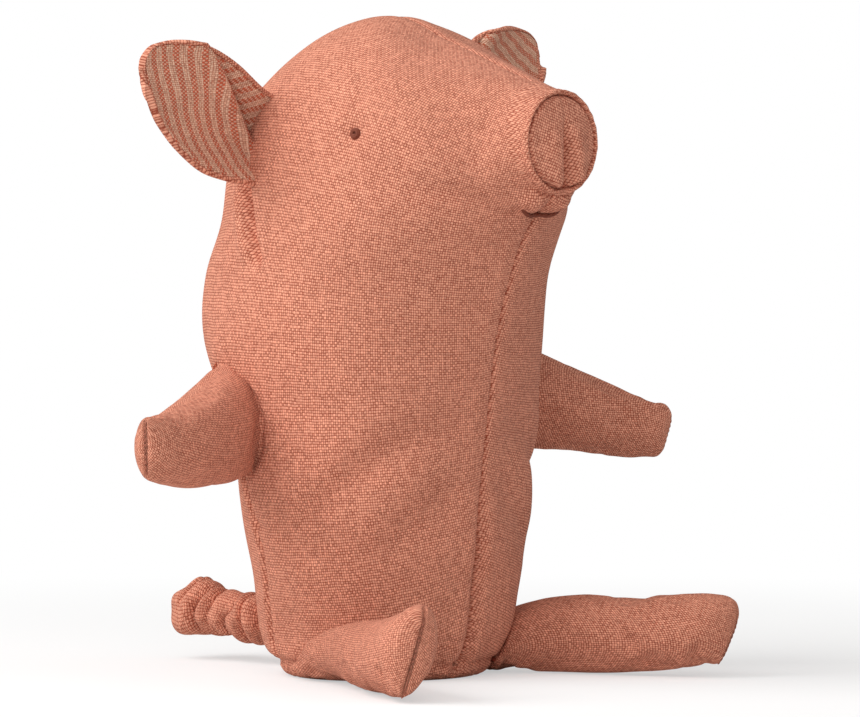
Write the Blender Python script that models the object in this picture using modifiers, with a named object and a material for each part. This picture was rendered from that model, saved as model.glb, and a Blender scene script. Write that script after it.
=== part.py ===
"""A seated plush pig sewn from plain-woven cloth over stuffing.

The pig faces -Y and stands on Z = 0 with the middle of its base on the origin; its right
side is at -X.  Body and head are one form, a stack of sections that rises from the base and
then fans forward round the throat to the snout.  Two mirrored side panels, a base panel and
a snout disc cover that form, and every limb, ear, eye and stitch is seated on it.
"""

import math

import bmesh
import bpy
from mathutils import Matrix, Vector

# Body and head
BODY_HEIGHT = 0.1996
BODY_WIDTH = 0.0965
BACK_REACH = 0.0600
SNOUT_REACH = 0.0744
SNOUT_HEIGHT = 0.1608
SNOUT_DIAMETER = 0.0306
SNOUT_RIM = 0.0027
DISC_DOME = 0.0010

# Cloth and seams
CLOTH = 0.0009
SEAM_GAP = 0.0003
SEAT_GAP = 0.00035
SEAM_ALLOWANCE = 0.0030
TIP_SEAM = 0.0020

# Arms: the root seam is a slit in the side panel, the tip a short upright seam
ARM_LENGTH = 0.0715
ARM_ROOT = 0.0375
ARM_THICKNESS = 0.0230
ARM_HEIGHT = 0.0796
ARM_BACK = 0.0190
ARM_LEAN = 0.0095
ARM_DROP = 0.0075
ARM_SAG = {-1: 0.0030, 1: -0.0045}

# Legs: the root seam lies flat in the base seam, the tip is an upright seam
LEG_LENGTH = 0.0825
LEG_ROOT = 0.0320
LEG_DEPTH = 0.0240
LEG_THICKNESS = 0.0230
LEG_INSET = 0.0045
LEG_RISE = 0.0030
LEG_SLANT = 0.0045
FLOOR_GAP = 0.0004

# Ears
EAR_REACH = 0.0855
EAR_WIDTH = 0.0432
EAR_HEIGHT = 0.1476
EAR_BACK = 0.0170
EAR_LEAN = 0.0040
EAR_RISE = {-1: 0.0, 1: 0.0085}
EAR_CUP = 0.0060
EAR_INSET = 0.0060
EAR_EDGE = 0.0010

# Eyes and mouth
EYE_DIAMETER = 0.0029
EYE_BULGE = 0.0022
EYE_FORWARD = 0.0265
EYE_HEIGHT = 0.1624
FLOSS = 0.00106
MOUTH_WIDTH = 0.0160
MOUTH_SAG = 0.0022
MOUTH_HEIGHT = 0.1386

# Tail: a gathered tube on a length of elastic
TAIL_LENGTH = 0.0575
TAIL_DIAMETER = 0.0160
TAIL_HEIGHT = 0.0112
TAIL_LIFT = 0.0050
TAIL_PLEATS = 9
TAIL_PLEAT_DEPTH = 0.0022
TAIL_INSET = 0.0020
ELASTIC = 0.0024

# How far each sewn-on piece turns on its seam, in degrees each way from rest.  A leg turns so
# far down that it is also cut clear of the body on the way there
ARM_TURN = (-38.0, 12.0)
LEG_TURN = (-60.0, 22.0)
LEG_ON_THE_WAY = (-40.0, -20.0)
EAR_TURN = (-15.0, 18.0)
TAIL_TURN = (-30.0, 30.0)

# Directions in the photographed pose, in degrees from straight ahead towards the outside
ARM_AZIMUTH = {-1: 64.0, 1: 52.0}
LEG_AZIMUTH = {-1: 29.0, 1: 23.5}
LEG_ROLL = {-1: 13.0, 1: 5.0}
LEG_ROOT_AZIMUTH = -22.0

SIDES = {-1: "right", 1: "left"}

# Sections of the body: how far forward and how high the front and the back of each lies, and
# its half width.  Forward places are shares of the snout's reach or, behind the origin, of
# the back's; heights are shares of the body's height, half widths of half its width.
BASE_SHARES = (
    (0.356, 0.000, -0.442, 0.000, 0.590),
    (0.412, 0.008, -0.502, 0.008, 0.688),
)
SIDE_SHARES = (
    (0.436, 0.023, -0.528, 0.023, 0.728),
    (0.468, 0.043, -0.588, 0.043, 0.762),
    (0.514, 0.086, -0.633, 0.086, 0.810),
    (0.550, 0.176, -0.667, 0.176, 0.872),
    (0.577, 0.278, -0.713, 0.278, 0.938),
    (0.609, 0.389, -0.795, 0.389, 0.976),
    (0.656, 0.500, -0.960, 0.510, 1.000),
    (0.716, 0.586, -1.000, 0.606, 0.972),
    (0.788, 0.650, -0.938, 0.706, 0.932),
    (0.848, 0.685, -0.830, 0.804, 0.894),
    (0.878, 0.698, -0.668, 0.893, 0.852),
    (0.900, 0.706, -0.300, 0.972, 0.790),
    (0.918, 0.712, 0.085, 1.000, 0.690),
    (0.936, 0.718, 0.400, 0.964, 0.560),
)
NECK_SHARE = 0.60

# Limbs: share of the length, of the root or depth, of the thickness
ARM_SHARES = (
    (0.00, 1.00, 0.10),
    (0.03, 0.99, 0.58),
    (0.10, 0.97, 0.86),
    (0.24, 0.88, 1.00),
    (0.42, 0.78, 0.98),
    (0.62, 0.66, 0.84),
    (0.80, 0.57, 0.62),
    (0.93, 0.48, 0.38),
    (1.00, 0.43, 0.09),
)
# Share of the length, of the depth, of half the root or of the thickness, and how far the
# section has turned from the root seam's direction to square across the leg
LEG_SHARES = (
    (0.00, 0.10, 1.00, 0.00),
    (0.04, 0.36, 0.98, 0.10),
    (0.12, 0.66, 0.92, 0.30),
    (0.26, 0.80, 0.80, 0.60),
    (0.45, 0.86, 0.74, 0.90),
    (0.65, 0.94, 0.72, 1.00),
    (0.82, 1.00, 0.60, 1.00),
    (0.94, 1.01, 0.36, 1.00),
    (1.00, 0.96, 0.08, 1.00),
)
# Share of the ear's length, then its lower and upper edge as shares of its width
EAR_SHARES = (
    (0.00, 0.000, 0.600),
    (0.20, 0.055, 0.670),
    (0.42, 0.110, 0.880),
    (0.60, 0.190, 0.985),
    (0.78, 0.370, 0.995),
    (0.91, 0.600, 0.960),
    (1.00, 0.790, 0.880),
)
# Share of the tail's length and of its radius
TAIL_SHARES = (
    (0.00, 0.42),
    (0.12, 0.50),
    (0.24, 0.88),
    (0.45, 0.80),
    (0.65, 0.86),
    (0.80, 1.04),
    (0.92, 0.98),
    (1.00, 0.34),
)
TAIL_BORE_SHARE = 0.70
TAIL_NECK_SHARE = 0.25
LEG_BEND_SHARE = 0.15

SECTION_POINTS = 24
BODY_RINGS = 27
LIMB_POINTS = 14
LIMB_RINGS = 13
EAR_STEPS = 9
MOUTH_POINTS = 17
TAIL_POINTS = 12
TAIL_RINGS_PER_PLEAT = 3
STEP = 1e-3

COLOURS = {
    "cloth": (0.665, 0.300, 0.195, 1.0),
    "base cloth": (0.560, 0.235, 0.150, 1.0),
    "lining": (0.560, 0.270, 0.190, 1.0),
    "thread": (0.160, 0.030, 0.020, 1.0),
    "stuffing": (0.850, 0.830, 0.790, 1.0),
    "elastic": (0.780, 0.760, 0.720, 1.0),
}


def clear_scene():
    """Removes what the startup scene holds."""
    for item in list(bpy.data.objects):
        bpy.data.objects.remove(item)


def new_collection(name):
    """A collection of this name, linked to the scene."""
    collection = bpy.data.collections.new(name)
    bpy.context.scene.collection.children.link(collection)
    return collection


def cloth_material(name):
    """A plain matt material in the colour of this name."""
    material = bpy.data.materials.get(name)
    if material is None:
        material = bpy.data.materials.new(name)
        material.use_nodes = True
        shader = material.node_tree.nodes["Principled BSDF"]
        shader.inputs["Base Color"].default_value = COLOURS[name]
        shader.inputs["Roughness"].default_value = 0.9
        shader.inputs["Metallic"].default_value = 0.0
        material.diffuse_color = COLOURS[name]
    return material


def blend_rows(rows, place):
    """The Catmull-Rom curve through these rows at a place counted in rows."""
    last = len(rows) - 1
    place = min(max(place, 0.0), float(last))
    first = min(int(place), last - 1)
    t = place - first
    before = rows[max(first - 1, 0)]
    start = rows[first]
    end = rows[first + 1]
    after = rows[min(first + 2, last)]
    blended = []
    for a, b, c, d in zip(before, start, end, after):
        slope = c - a
        bend = 2 * a - 5 * b + 4 * c - d
        twist = -a + 3 * b - 3 * c + d
        blended.append(0.5 * (2 * b + slope * t + bend * t**2 + twist * t**3))
    return blended


def place_of(rows, column, value):
    """The place at which a rising column of these rows reaches a value."""
    low, high = 0.0, float(len(rows) - 1)
    for _ in range(40):
        middle = (low + high) / 2
        if blend_rows(rows, middle)[column] < value:
            low = middle
        else:
            high = middle
    return (low + high) / 2


def forward_of(share):
    """A forward place from its share of the snout's or the back's reach."""
    return share * (SNOUT_REACH if share >= 0 else BACK_REACH)


def section_row(shares):
    """One section: front forward and height, back forward and height, half width."""
    front, front_height, back, back_height, half_width = shares
    return (
        forward_of(front),
        front_height * BODY_HEIGHT,
        forward_of(back),
        back_height * BODY_HEIGHT,
        half_width * BODY_WIDTH / 2,
    )


def upright_row(forward, radius):
    """A round upright section about the snout's middle."""
    low, high = SNOUT_HEIGHT - radius, SNOUT_HEIGHT + radius
    return (forward, low, forward, high, radius)


def body_rows():
    """All sections of the body form, from the edge of its flat foot to the snout's rim."""
    rows = [section_row(shares) for shares in BASE_SHARES + SIDE_SHARES]
    radius = SNOUT_DIAMETER / 2
    ring = upright_row(SNOUT_REACH - SNOUT_RIM, radius)
    rows.append([a + (b - a) * NECK_SHARE for a, b in zip(rows[-1], ring)])
    rows.append(ring)
    rows.append(upright_row(SNOUT_REACH, radius - SEAM_GAP))
    return rows


ROWS = body_rows()
BASE_SEAM = float(len(BASE_SHARES))
SNOUT_SEAM = float(len(ROWS) - 1)


def body_point(place, angle):
    """A point of the body's surface; angle 0 is the centre front, a half turn the back."""
    front, front_height, back, back_height, half_width = blend_rows(ROWS, place)
    share = (1 + math.cos(angle)) / 2
    forward = back + (front - back) * share
    height = back_height + (front_height - back_height) * share
    return Vector((-half_width * math.sin(angle), -forward, height))


def body_normal(place, angle):
    """The outward normal of the body's surface."""
    low = max(place - STEP, 0.0)
    high = min(place + STEP, SNOUT_SEAM)
    along = body_point(high, angle) - body_point(low, angle)
    around = body_point(place, angle + STEP) - body_point(place, angle - STEP)
    return along.cross(around).normalized()


def lifted_point(place, angle, lift):
    """A point this far outside the body's surface."""
    return body_point(place, angle) + body_normal(place, angle) * lift


def seat_of(forward, height, side):
    """The place and angle of the body's surface at this forward place, height and side."""

    def miss(place, angle):
        point = body_point(place, angle)
        return Vector((-point.y - forward, point.z - height))

    steps = 40
    places = [BASE_SEAM + (SNOUT_SEAM - BASE_SEAM) * i / steps for i in range(steps + 1)]
    angles = [math.pi * i / steps for i in range(1, steps)]
    place, angle = min(
        ((p, a) for p in places for a in angles), key=lambda pair: miss(*pair).length
    )
    for _ in range(20):
        error = miss(place, angle)
        by_place = (miss(place + STEP, angle) - error) / STEP
        by_angle = (miss(place, angle + STEP) - error) / STEP
        scale = by_place.x * by_angle.y - by_place.y * by_angle.x
        place -= (error.x * by_angle.y - error.y * by_angle.x) / scale
        angle -= (by_place.x * error.y - by_place.y * error.x) / scale
    return place, -side * angle


def add_object(name, mesh, collection, material):
    """An object of this mesh in the collection, with its material."""
    item = bpy.data.objects.new(name, mesh)
    collection.objects.link(item)
    mesh.materials.append(cloth_material(material))
    mesh.shade_smooth()
    return item


def grid_mesh(
    name, rows, closed=False, start_cap=False, end_cap=False, outward=True, left_out=()
):
    """A loft through rows of points; closed rows are rings, which can be capped.

    A loft with both caps is split into triangles the same way everywhere, so that one form
    let in from another keeps its distance on every facet.  left_out holds the (row, column)
    of each face that an open sheet goes without.
    """
    shape = bmesh.new()
    made = [[shape.verts.new(point) for point in row] for row in rows]
    count = len(rows[0])
    for number, (lower, upper) in enumerate(zip(made, made[1:])):
        for i in range(count if closed else count - 1):
            after = (i + 1) % count
            if (number, i) in left_out:
                continue
            if start_cap and end_cap:
                shape.faces.new((lower[i], lower[after], upper[after]))
                shape.faces.new((lower[i], upper[after], upper[i]))
            else:
                shape.faces.new((lower[i], lower[after], upper[after], upper[i]))
    loose = [vertex for vertex in shape.verts if not vertex.link_faces]
    bmesh.ops.delete(shape, geom=loose, context="VERTS")
    if start_cap:
        shape.faces.new(list(reversed(made[0])))
    if end_cap:
        shape.faces.new(made[-1])
    if start_cap and end_cap:
        bmesh.ops.recalc_face_normals(shape, faces=shape.faces)
    elif not outward:
        bmesh.ops.reverse_faces(shape, faces=shape.faces)
    mesh = bpy.data.meshes.new(name)
    shape.to_mesh(mesh)
    shape.free()
    return mesh


def capped_loft(name, rows):
    """A closed solid through rings of points."""
    return grid_mesh(name, rows, closed=True, start_cap=True, end_cap=True)


def thicken(item, thickness=CLOTH):
    """Gives a sheet its cloth's thickness, inwards from the modelled face."""
    solidify = item.modifiers.new("cloth", "SOLIDIFY")
    solidify.thickness = thickness
    solidify.offset = -1.0
    solidify.use_even_offset = True


def cut(item, cutter):
    """Takes the cutter's shape away from the item."""
    boolean = item.modifiers.new("cut " + cutter.name, "BOOLEAN")
    boolean.operation = "DIFFERENCE"
    boolean.solver = "EXACT"
    boolean.object = cutter


def hide_cutter(item):
    """Keeps a helper out of renders and shows it as wires."""
    item.hide_render = True
    item.display_type = "WIRE"
    return item


def side_places():
    """The places of the side panels' rings, from the base seam to the snout's."""
    span = SNOUT_SEAM - BASE_SEAM
    return [BASE_SEAM + span * i / (BODY_RINGS - 1) for i in range(BODY_RINGS)]


def section_angles():
    """The angles of one side, from the centre front to the centre back."""
    half = SECTION_POINTS // 2
    return [math.pi * i / half for i in range(half + 1)]


def turned_in(place, angle, depth):
    """A point this deep in a section's front or back, clear of the base panel."""
    edge = body_point(place, angle)
    far = body_point(place, angle + math.pi)
    point = edge + (far - edge).normalized() * depth
    point.z = max(point.z, body_point(BASE_SEAM, angle).z + CLOTH)
    return point


def side_row(place, side):
    """One row of a side panel: turned-in front seam, surface, turned-in back seam."""
    edge = side * SEAM_GAP / 2
    row = [turned_in(place, 0.0, depth) for depth in (SEAM_ALLOWANCE, CLOTH)]
    row += [body_point(place, -side * angle) for angle in section_angles()]
    row += [turned_in(place, math.pi, depth) for depth in (CLOTH, SEAM_ALLOWANCE)]
    for index in (0, 1, 2, -3, -2, -1):
        row[index].x = edge
    return row


def make_side_panel(side, collection):
    """A side panel: cloth over half of the body, its allowances turned in up to the rim."""
    places = side_places()
    rows = [side_row(place, side) for place in places]
    rim = [i for i in range(len(places) - 1) if places[i + 1] > SNOUT_SEAM - 1]
    folded = (0, 1, len(rows[0]) - 3, len(rows[0]) - 2)
    left_out = {(row, column) for row in rim for column in folded}
    name = SIDES[side] + "_side_panel"
    mesh = grid_mesh(name, rows, outward=side > 0, left_out=left_out)
    panel = add_object(name, mesh, collection, "cloth")
    thicken(panel)
    return panel


def full_ring(place, lift=0.0):
    """A whole ring round the body, this far outside its surface."""
    angles = [2 * math.pi * i / SECTION_POINTS for i in range(SECTION_POINTS)]
    return [lifted_point(place, angle, lift) for angle in angles]


def make_base_panel(collection):
    """The base: a flat oval whose edge curls up to the base seam."""
    spacing = (body_point(BASE_SEAM, 0.0) - body_point(BASE_SEAM - 1, 0.0)).length
    top = BASE_SEAM - SEAM_GAP / spacing
    rows = [full_ring(top * i / 4) for i in range(5)]
    mesh = grid_mesh("base_panel", rows, closed=True, start_cap=True, outward=False)
    base = add_object("base_panel", mesh, collection, "base cloth")
    thicken(base)
    return base


def make_snout_disc(collection):
    """The snout's disc: a slightly domed round of cloth inside the side panels' rim."""
    rows = []
    edge = SNOUT_DIAMETER / 2 - CLOTH - 3 * SEAM_GAP
    for share in (1.0, 0.85, 0.55, 0.2):
        radius = share * edge
        forward = SNOUT_REACH + DISC_DOME * (1 - share**2)
        ring = []
        for i in range(SECTION_POINTS):
            angle = 2 * math.pi * i / SECTION_POINTS
            across = -radius * math.sin(angle)
            ring.append(Vector((across, -forward, SNOUT_HEIGHT - radius * math.cos(angle))))
        rows.append(ring)
    mesh = grid_mesh("snout_disc", rows, closed=True, end_cap=True, outward=False)
    disc = add_object("snout_disc", mesh, collection, "cloth")
    thicken(disc)
    return disc


def filling_ring(place):
    """A ring of the stuffing, inside the cloth and notched round the turned-in seams."""
    inset = CLOTH + SEAM_GAP
    notch = SEAM_GAP / 2 + CLOTH + SEAM_GAP
    depth = SEAM_ALLOWANCE + 2 * SEAM_GAP
    ring = []
    for i in range(SECTION_POINTS):
        angle = 2 * math.pi * i / SECTION_POINTS
        if i % (SECTION_POINTS // 2):
            ring.append(lifted_point(place, angle, -inset))
            continue
        first = notch if i == 0 else -notch
        crown = lifted_point(place, angle, -inset)
        beside = lifted_point(place, angle + 2 * math.pi / SECTION_POINTS, -inset)
        mouth = crown.lerp(beside, notch / abs(beside.x))
        bottom = turned_in(place, angle, depth)
        for point, across in ((mouth, first), (bottom, first), (bottom, -first), (mouth, -first)):
            ring.append(Vector((across, point.y, point.z)))
    floor = CLOTH + SEAM_GAP
    front = -(SNOUT_REACH - CLOTH - SEAM_GAP)
    return [Vector((p.x, max(p.y, front), max(p.z, floor))) for p in ring]


def make_body_filling(collection):
    """The stuffing of body and head, one solid inside the four pieces of cloth."""
    places = [BASE_SEAM * i / 3 for i in range(3)] + side_places()
    rows = [filling_ring(place) for place in places]
    mesh = grid_mesh("body_filling", rows, closed=True, start_cap=True, end_cap=True)
    return add_object("body_filling", mesh, collection, "stuffing")


def body_cutter_mesh():
    """The whole body, let out by the gap that every sewn-on piece keeps to it."""
    places = [BASE_SEAM * i / 3 for i in range(3)] + side_places()
    rows = [full_ring(place, SEAT_GAP) for place in places]
    return grid_mesh("body_cutter", rows, closed=True, start_cap=True, end_cap=True)


class Seam:
    """The line that a sewn-on piece turns on, with the body cut back through its turn."""

    def __init__(self, name, start, end, turn, groups, cutter_mesh, on_the_way=()):
        self.position = (start + end) / 2
        self.axis = (end - start).normalized()
        self.empty = bpy.data.objects.new(name + "_seam", None)
        self.empty.empty_display_size = (end - start).length / 2
        self.empty.location = self.position
        self.empty.rotation_euler = self.axis.to_track_quat("Z", "Y").to_euler()
        groups["parts"].objects.link(self.empty)
        bpy.context.view_layer.update()
        self.cutters = []
        for degrees in (0.0, *turn, *on_the_way):
            cutter = bpy.data.objects.new(f"{name}_clearance_{degrees:+.0f}", cutter_mesh)
            to_axis = Matrix.Translation(self.position)
            turned = Matrix.Rotation(-math.radians(degrees), 4, self.axis)
            cutter.matrix_world = to_axis @ turned @ to_axis.inverted()
            groups["cutters"].objects.link(hide_cutter(cutter))
            self.cutters.append(cutter)
        place = ", ".join(f"{value:.5f}" for value in self.position)
        line = ", ".join(f"{value:.5f}" for value in self.axis)
        print(f"{name}: seam at ({place}), along ({line}), turns {turn}")

    def carry(self, item):
        """Parents a piece to the seam's empty where it stands and cuts it clear."""
        item.parent = self.empty
        item.matrix_parent_inverse = self.empty.matrix_world.inverted()
        for cutter in self.cutters:
            cut(item, cutter)
        return item


def limb_ring(middle, up, out, half_up, half_out):
    """One oval section of a limb."""
    ring = []
    for i in range(LIMB_POINTS):
        angle = 2 * math.pi * (i + 0.5) / LIMB_POINTS
        ring.append(middle + up * (half_up * math.cos(angle)) + out * (half_out * math.sin(angle)))
    return ring


def limb_pieces(name, section, end_place, tip_place, groups, seam):
    """A limb's cover and its filling from a function that gives its sections."""
    least = SEAM_GAP / 2
    places = [end_place * i / (LIMB_RINGS - 1) for i in range(LIMB_RINGS)]
    inner = [place for place in places if place < tip_place - STEP]

    def loft(label, inset, where):
        rows = []
        for place in where:
            middle, up, out, half_up, half_out = section(place)
            sizes = (max(half_up - inset, least), max(half_out - inset, least))
            rows.append(limb_ring(middle, up, out, *sizes))
        return rows

    cover_rows = loft(name, 0.0, places)
    hollow_rows = loft(name, CLOTH, inner + [tip_place])
    filling_rows = loft(name, CLOTH + SEAM_GAP, inner[1:])
    inward = hollow_rows[0][0] - hollow_rows[1][0]
    hollow_rows.insert(0, [point + inward for point in hollow_rows[0]])
    hollow = bpy.data.objects.new(name + "_hollow", capped_loft(name + "_hollow", hollow_rows))
    groups["cutters"].objects.link(hide_cutter(hollow))
    for label, rows, material in (
        ("_cover", cover_rows, "cloth"),
        ("_filling", filling_rows, "stuffing"),
    ):
        mesh = capped_loft(name + label, rows)
        piece = add_object(name + label, mesh, groups["parts"], material)
        if label == "_cover":
            cut(piece, hollow)
        seam.carry(piece)


def heading(side, degrees):
    """The level direction this far from straight ahead towards a side."""
    angle = math.radians(degrees)
    return Vector((side * math.sin(angle), -math.cos(angle), 0.0))


def make_arm(side, groups, cutter_mesh):
    """An arm: a tapering sleeve sewn into an upright slit of the side panel."""
    name = SIDES[side] + "_arm"
    ends = []
    for way in (-1, 1):
        forward = -ARM_BACK - way * ARM_LEAN / 2
        place, angle = seat_of(forward, ARM_HEIGHT + way * ARM_ROOT / 2, side)
        ends.append(lifted_point(place, angle, SEAT_GAP))
    turn = forward_turn(side, ARM_TURN)
    seam = Seam(name, *ends, turn, groups, cutter_mesh)
    along = heading(side, ARM_AZIMUTH[side]) * ARM_LENGTH
    along.z = -ARM_DROP
    root_up = seam.axis

    def section(place):
        length, height, thick = blend_rows(ARM_SHARES, place)
        up = root_up.lerp(Vector((0.0, 0.0, 1.0)), length).normalized()
        out = along.cross(up).normalized()
        middle = seam.position + along * length
        middle.z -= ARM_SAG[side] * 4 * length * (1 - length)
        return middle, up, out, height * ARM_ROOT / 2, thick * ARM_THICKNESS / 2

    end_place = float(len(ARM_SHARES) - 1)
    tip_place = place_of(ARM_SHARES, 0, 1 - TIP_SEAM / ARM_LENGTH)
    limb_pieces(name, section, end_place, tip_place, groups, seam)
    return seam


def forward_turn(side, limits):
    """Limits about an upright seam, from turns that count towards the front as positive."""
    return tuple(sorted(side * -degrees for degrees in limits))


def leg_seat(side):
    """Where the base seam faces squarely away from the leg's root, just off the cloth."""
    front, _, back, _, half_width = blend_rows(ROWS, BASE_SEAM)
    facing = math.radians(LEG_ROOT_AZIMUTH + 90)
    angle = math.atan(math.tan(facing) * half_width / ((front - back) / 2))
    return lifted_point(BASE_SEAM, -side * angle, SEAT_GAP)


def make_leg(side, groups, cutter_mesh):
    """A leg: flat where the base seam holds it, upright at its tip seam."""
    name = SIDES[side] + "_leg"
    upright = Vector((0.0, 0.0, 1.0))
    chord = heading(side, LEG_ROOT_AZIMUTH)
    seat = leg_seat(side)
    half_root = chord * (LEG_ROOT / 2)
    turn = tuple(sorted(side * degrees for degrees in LEG_TURN))
    on_the_way = tuple(side * degrees for degrees in LEG_ON_THE_WAY)
    ends = (seat - half_root, seat + half_root)
    seam = Seam(name, *ends, turn, groups, cutter_mesh, on_the_way)
    ahead = heading(side, LEG_AZIMUTH[side])
    across = heading(side, LEG_AZIMUTH[side] - 90)
    root = seat - heading(side, LEG_ROOT_AZIMUTH + 90) * LEG_INSET

    def section(place):
        length, deep, wide, turned = blend_rows(LEG_SHARES, place)
        roll = Matrix.Rotation(math.radians(side * LEG_ROLL[side]) * length, 3, ahead)
        up = (roll @ upright + ahead * (LEG_SLANT / LEG_DEPTH * length)).normalized()
        out = (roll @ chord.lerp(across, turned)).normalized()
        half_up = deep * LEG_DEPTH / 2
        half_out = wide * (LEG_ROOT + (LEG_THICKNESS - LEG_ROOT) * turned) / 2
        middle = root + ahead * (LEG_LENGTH * length)
        lowest = FLOOR_GAP + math.hypot(half_up * up.z, half_out * out.z)
        level = lowest + LEG_RISE * length**4
        settled = max(1 - length / LEG_BEND_SHARE, 0.0) ** 2
        middle.z = max(level + (seat.z - level) * settled, lowest)
        return middle, up, out, half_up, half_out

    end_place = float(len(LEG_SHARES) - 1)
    tip_place = place_of(LEG_SHARES, 0, 1 - TIP_SEAM / LEG_LENGTH)
    limb_pieces(name, section, end_place, tip_place, groups, seam)
    return seam


def make_ear(side, groups, cutter_mesh):
    """An ear: a cupped leaf of cloth with a lining on its front."""
    name = SIDES[side] + "_ear"
    root_width = EAR_SHARES[0][2] * EAR_WIDTH
    low = lifted_point(*seat_of(-EAR_BACK, EAR_HEIGHT, side), SEAT_GAP)
    high = lifted_point(*seat_of(-EAR_BACK - EAR_LEAN, EAR_HEIGHT + root_width, side), SEAT_GAP)
    crown = seat_of(-EAR_BACK - EAR_LEAN / 2, EAR_HEIGHT + root_width / 2, side)
    middle = lifted_point(*crown, SEAT_GAP)
    half_seam = (high - low) / 2
    turn = forward_turn(side, EAR_TURN)
    seam = Seam(name, middle - half_seam, middle + half_seam, turn, groups, cutter_mesh)
    ear_length = EAR_REACH - abs(low.x)

    def ear_point(length, across):
        lower, upper = blend_rows(EAR_SHARES, place_of(EAR_SHARES, 0, length))[1:]
        width = lower + (upper - lower) * across
        point = low.lerp(high, width * EAR_WIDTH / root_width)
        reach = abs(point.x) + (EAR_REACH - abs(point.x)) * length - EAR_INSET * (1 - length)
        point.x = side * reach
        cupped = (2 * across - 1) ** 2 * (1 - length)
        point.y = low.y - EAR_CUP * cupped
        point.z += EAR_RISE[side] * (1 - (1 - length) ** 2)
        return point

    def ear_sheet(margin, away):
        rows = []
        for i in range(EAR_STEPS):
            length = (1 - margin / ear_length) * i / (EAR_STEPS - 1)
            row = []
            for j in range(EAR_STEPS):
                edge = margin / EAR_WIDTH
                across = edge + (1 - 2 * edge) * j / (EAR_STEPS - 1)
                point = ear_point(length, across)
                beyond = ear_point(length + STEP, across) - point
                beside = ear_point(length, across + STEP) - point
                normal = beyond.cross(beside).normalized() * -side
                row.append(point + normal * (away * SEAM_GAP / 2))
            rows.append(row)
        return rows

    for label, margin, away, material in (
        ("_back", 0.0, -1, "cloth"),
        ("_lining", EAR_EDGE, 1, "lining"),
    ):
        mesh = grid_mesh(name + label, ear_sheet(margin, away), outward=side > 0)
        leaf = add_object(name + label, mesh, groups["parts"], material)
        thicken(leaf)
        leaf.modifiers["cloth"].offset = away
        seam.carry(leaf)
    return seam


def on_cloth(panels, place, angle, lift):
    """A point lifted off the side panels' facets, and the outward normal there."""
    normal = body_normal(place, angle)
    beyond = lifted_point(place, angle, SEAM_ALLOWANCE)
    spots = [panel.closest_point_on_mesh(beyond)[1] for panel in panels.values()]
    nearest = min(spots, key=lambda spot: (spot - beyond).length)
    return nearest + normal * lift, normal


def make_eye(side, panels, groups):
    """An eye: a knot of thread pulled down on the cloth."""
    place, angle = seat_of(EYE_FORWARD, EYE_HEIGHT, side)
    middle, normal = on_cloth(panels, place, angle, EYE_BULGE / 2 + SEAM_GAP)
    shape = bmesh.new()
    bmesh.ops.create_uvsphere(shape, u_segments=14, v_segments=8, radius=0.5)
    name = SIDES[side] + "_eye"
    mesh = bpy.data.meshes.new(name)
    shape.to_mesh(mesh)
    shape.free()
    size = Matrix.Diagonal((EYE_DIAMETER, EYE_DIAMETER, EYE_BULGE, 1.0))
    turn = normal.to_track_quat("Z", "Y").to_matrix().to_4x4()
    mesh.transform(turn @ size)
    eye = add_object(name, mesh, groups["parts"], "thread")
    eye.location = middle


def make_mouth(panels, groups):
    """The mouth: one smile of floss stitched across the centre front."""
    curve = bpy.data.curves.new("mouth_stitch", "CURVE")
    curve.dimensions = "3D"
    curve.bevel_depth = FLOSS / 2
    curve.bevel_resolution = 2
    curve.use_fill_caps = True
    spline = curve.splines.new("POLY")
    spline.points.add(MOUTH_POINTS - 1)
    for i, point in enumerate(spline.points):
        across = 2 * i / (MOUTH_POINTS - 1) - 1
        height = MOUTH_HEIGHT + MOUTH_SAG * across**2
        place = place_of([row[:2] for row in ROWS], 1, height)
        half_width = blend_rows(ROWS, place)[4]
        angle = -math.asin(across * MOUTH_WIDTH / 2 / half_width)
        spot, _ = on_cloth(panels, place, angle, FLOSS / 2 + SEAM_GAP)
        point.co = (*spot, 1.0)
    mouth = bpy.data.objects.new("mouth_stitch", curve)
    curve.materials.append(cloth_material("thread"))
    groups["parts"].objects.link(mouth)


def tail_ring(root, length, radius):
    """An upright ring of the tail, at a share of its length."""
    middle = root + Vector((0.0, TAIL_LENGTH * length, TAIL_LIFT * (1 - (1 - length) ** 2)))
    ring = []
    for i in range(TAIL_POINTS):
        angle = 2 * math.pi * (i + 0.5) / TAIL_POINTS
        ring.append(middle + Vector((radius * math.cos(angle), 0.0, radius * math.sin(angle))))
    return ring


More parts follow.
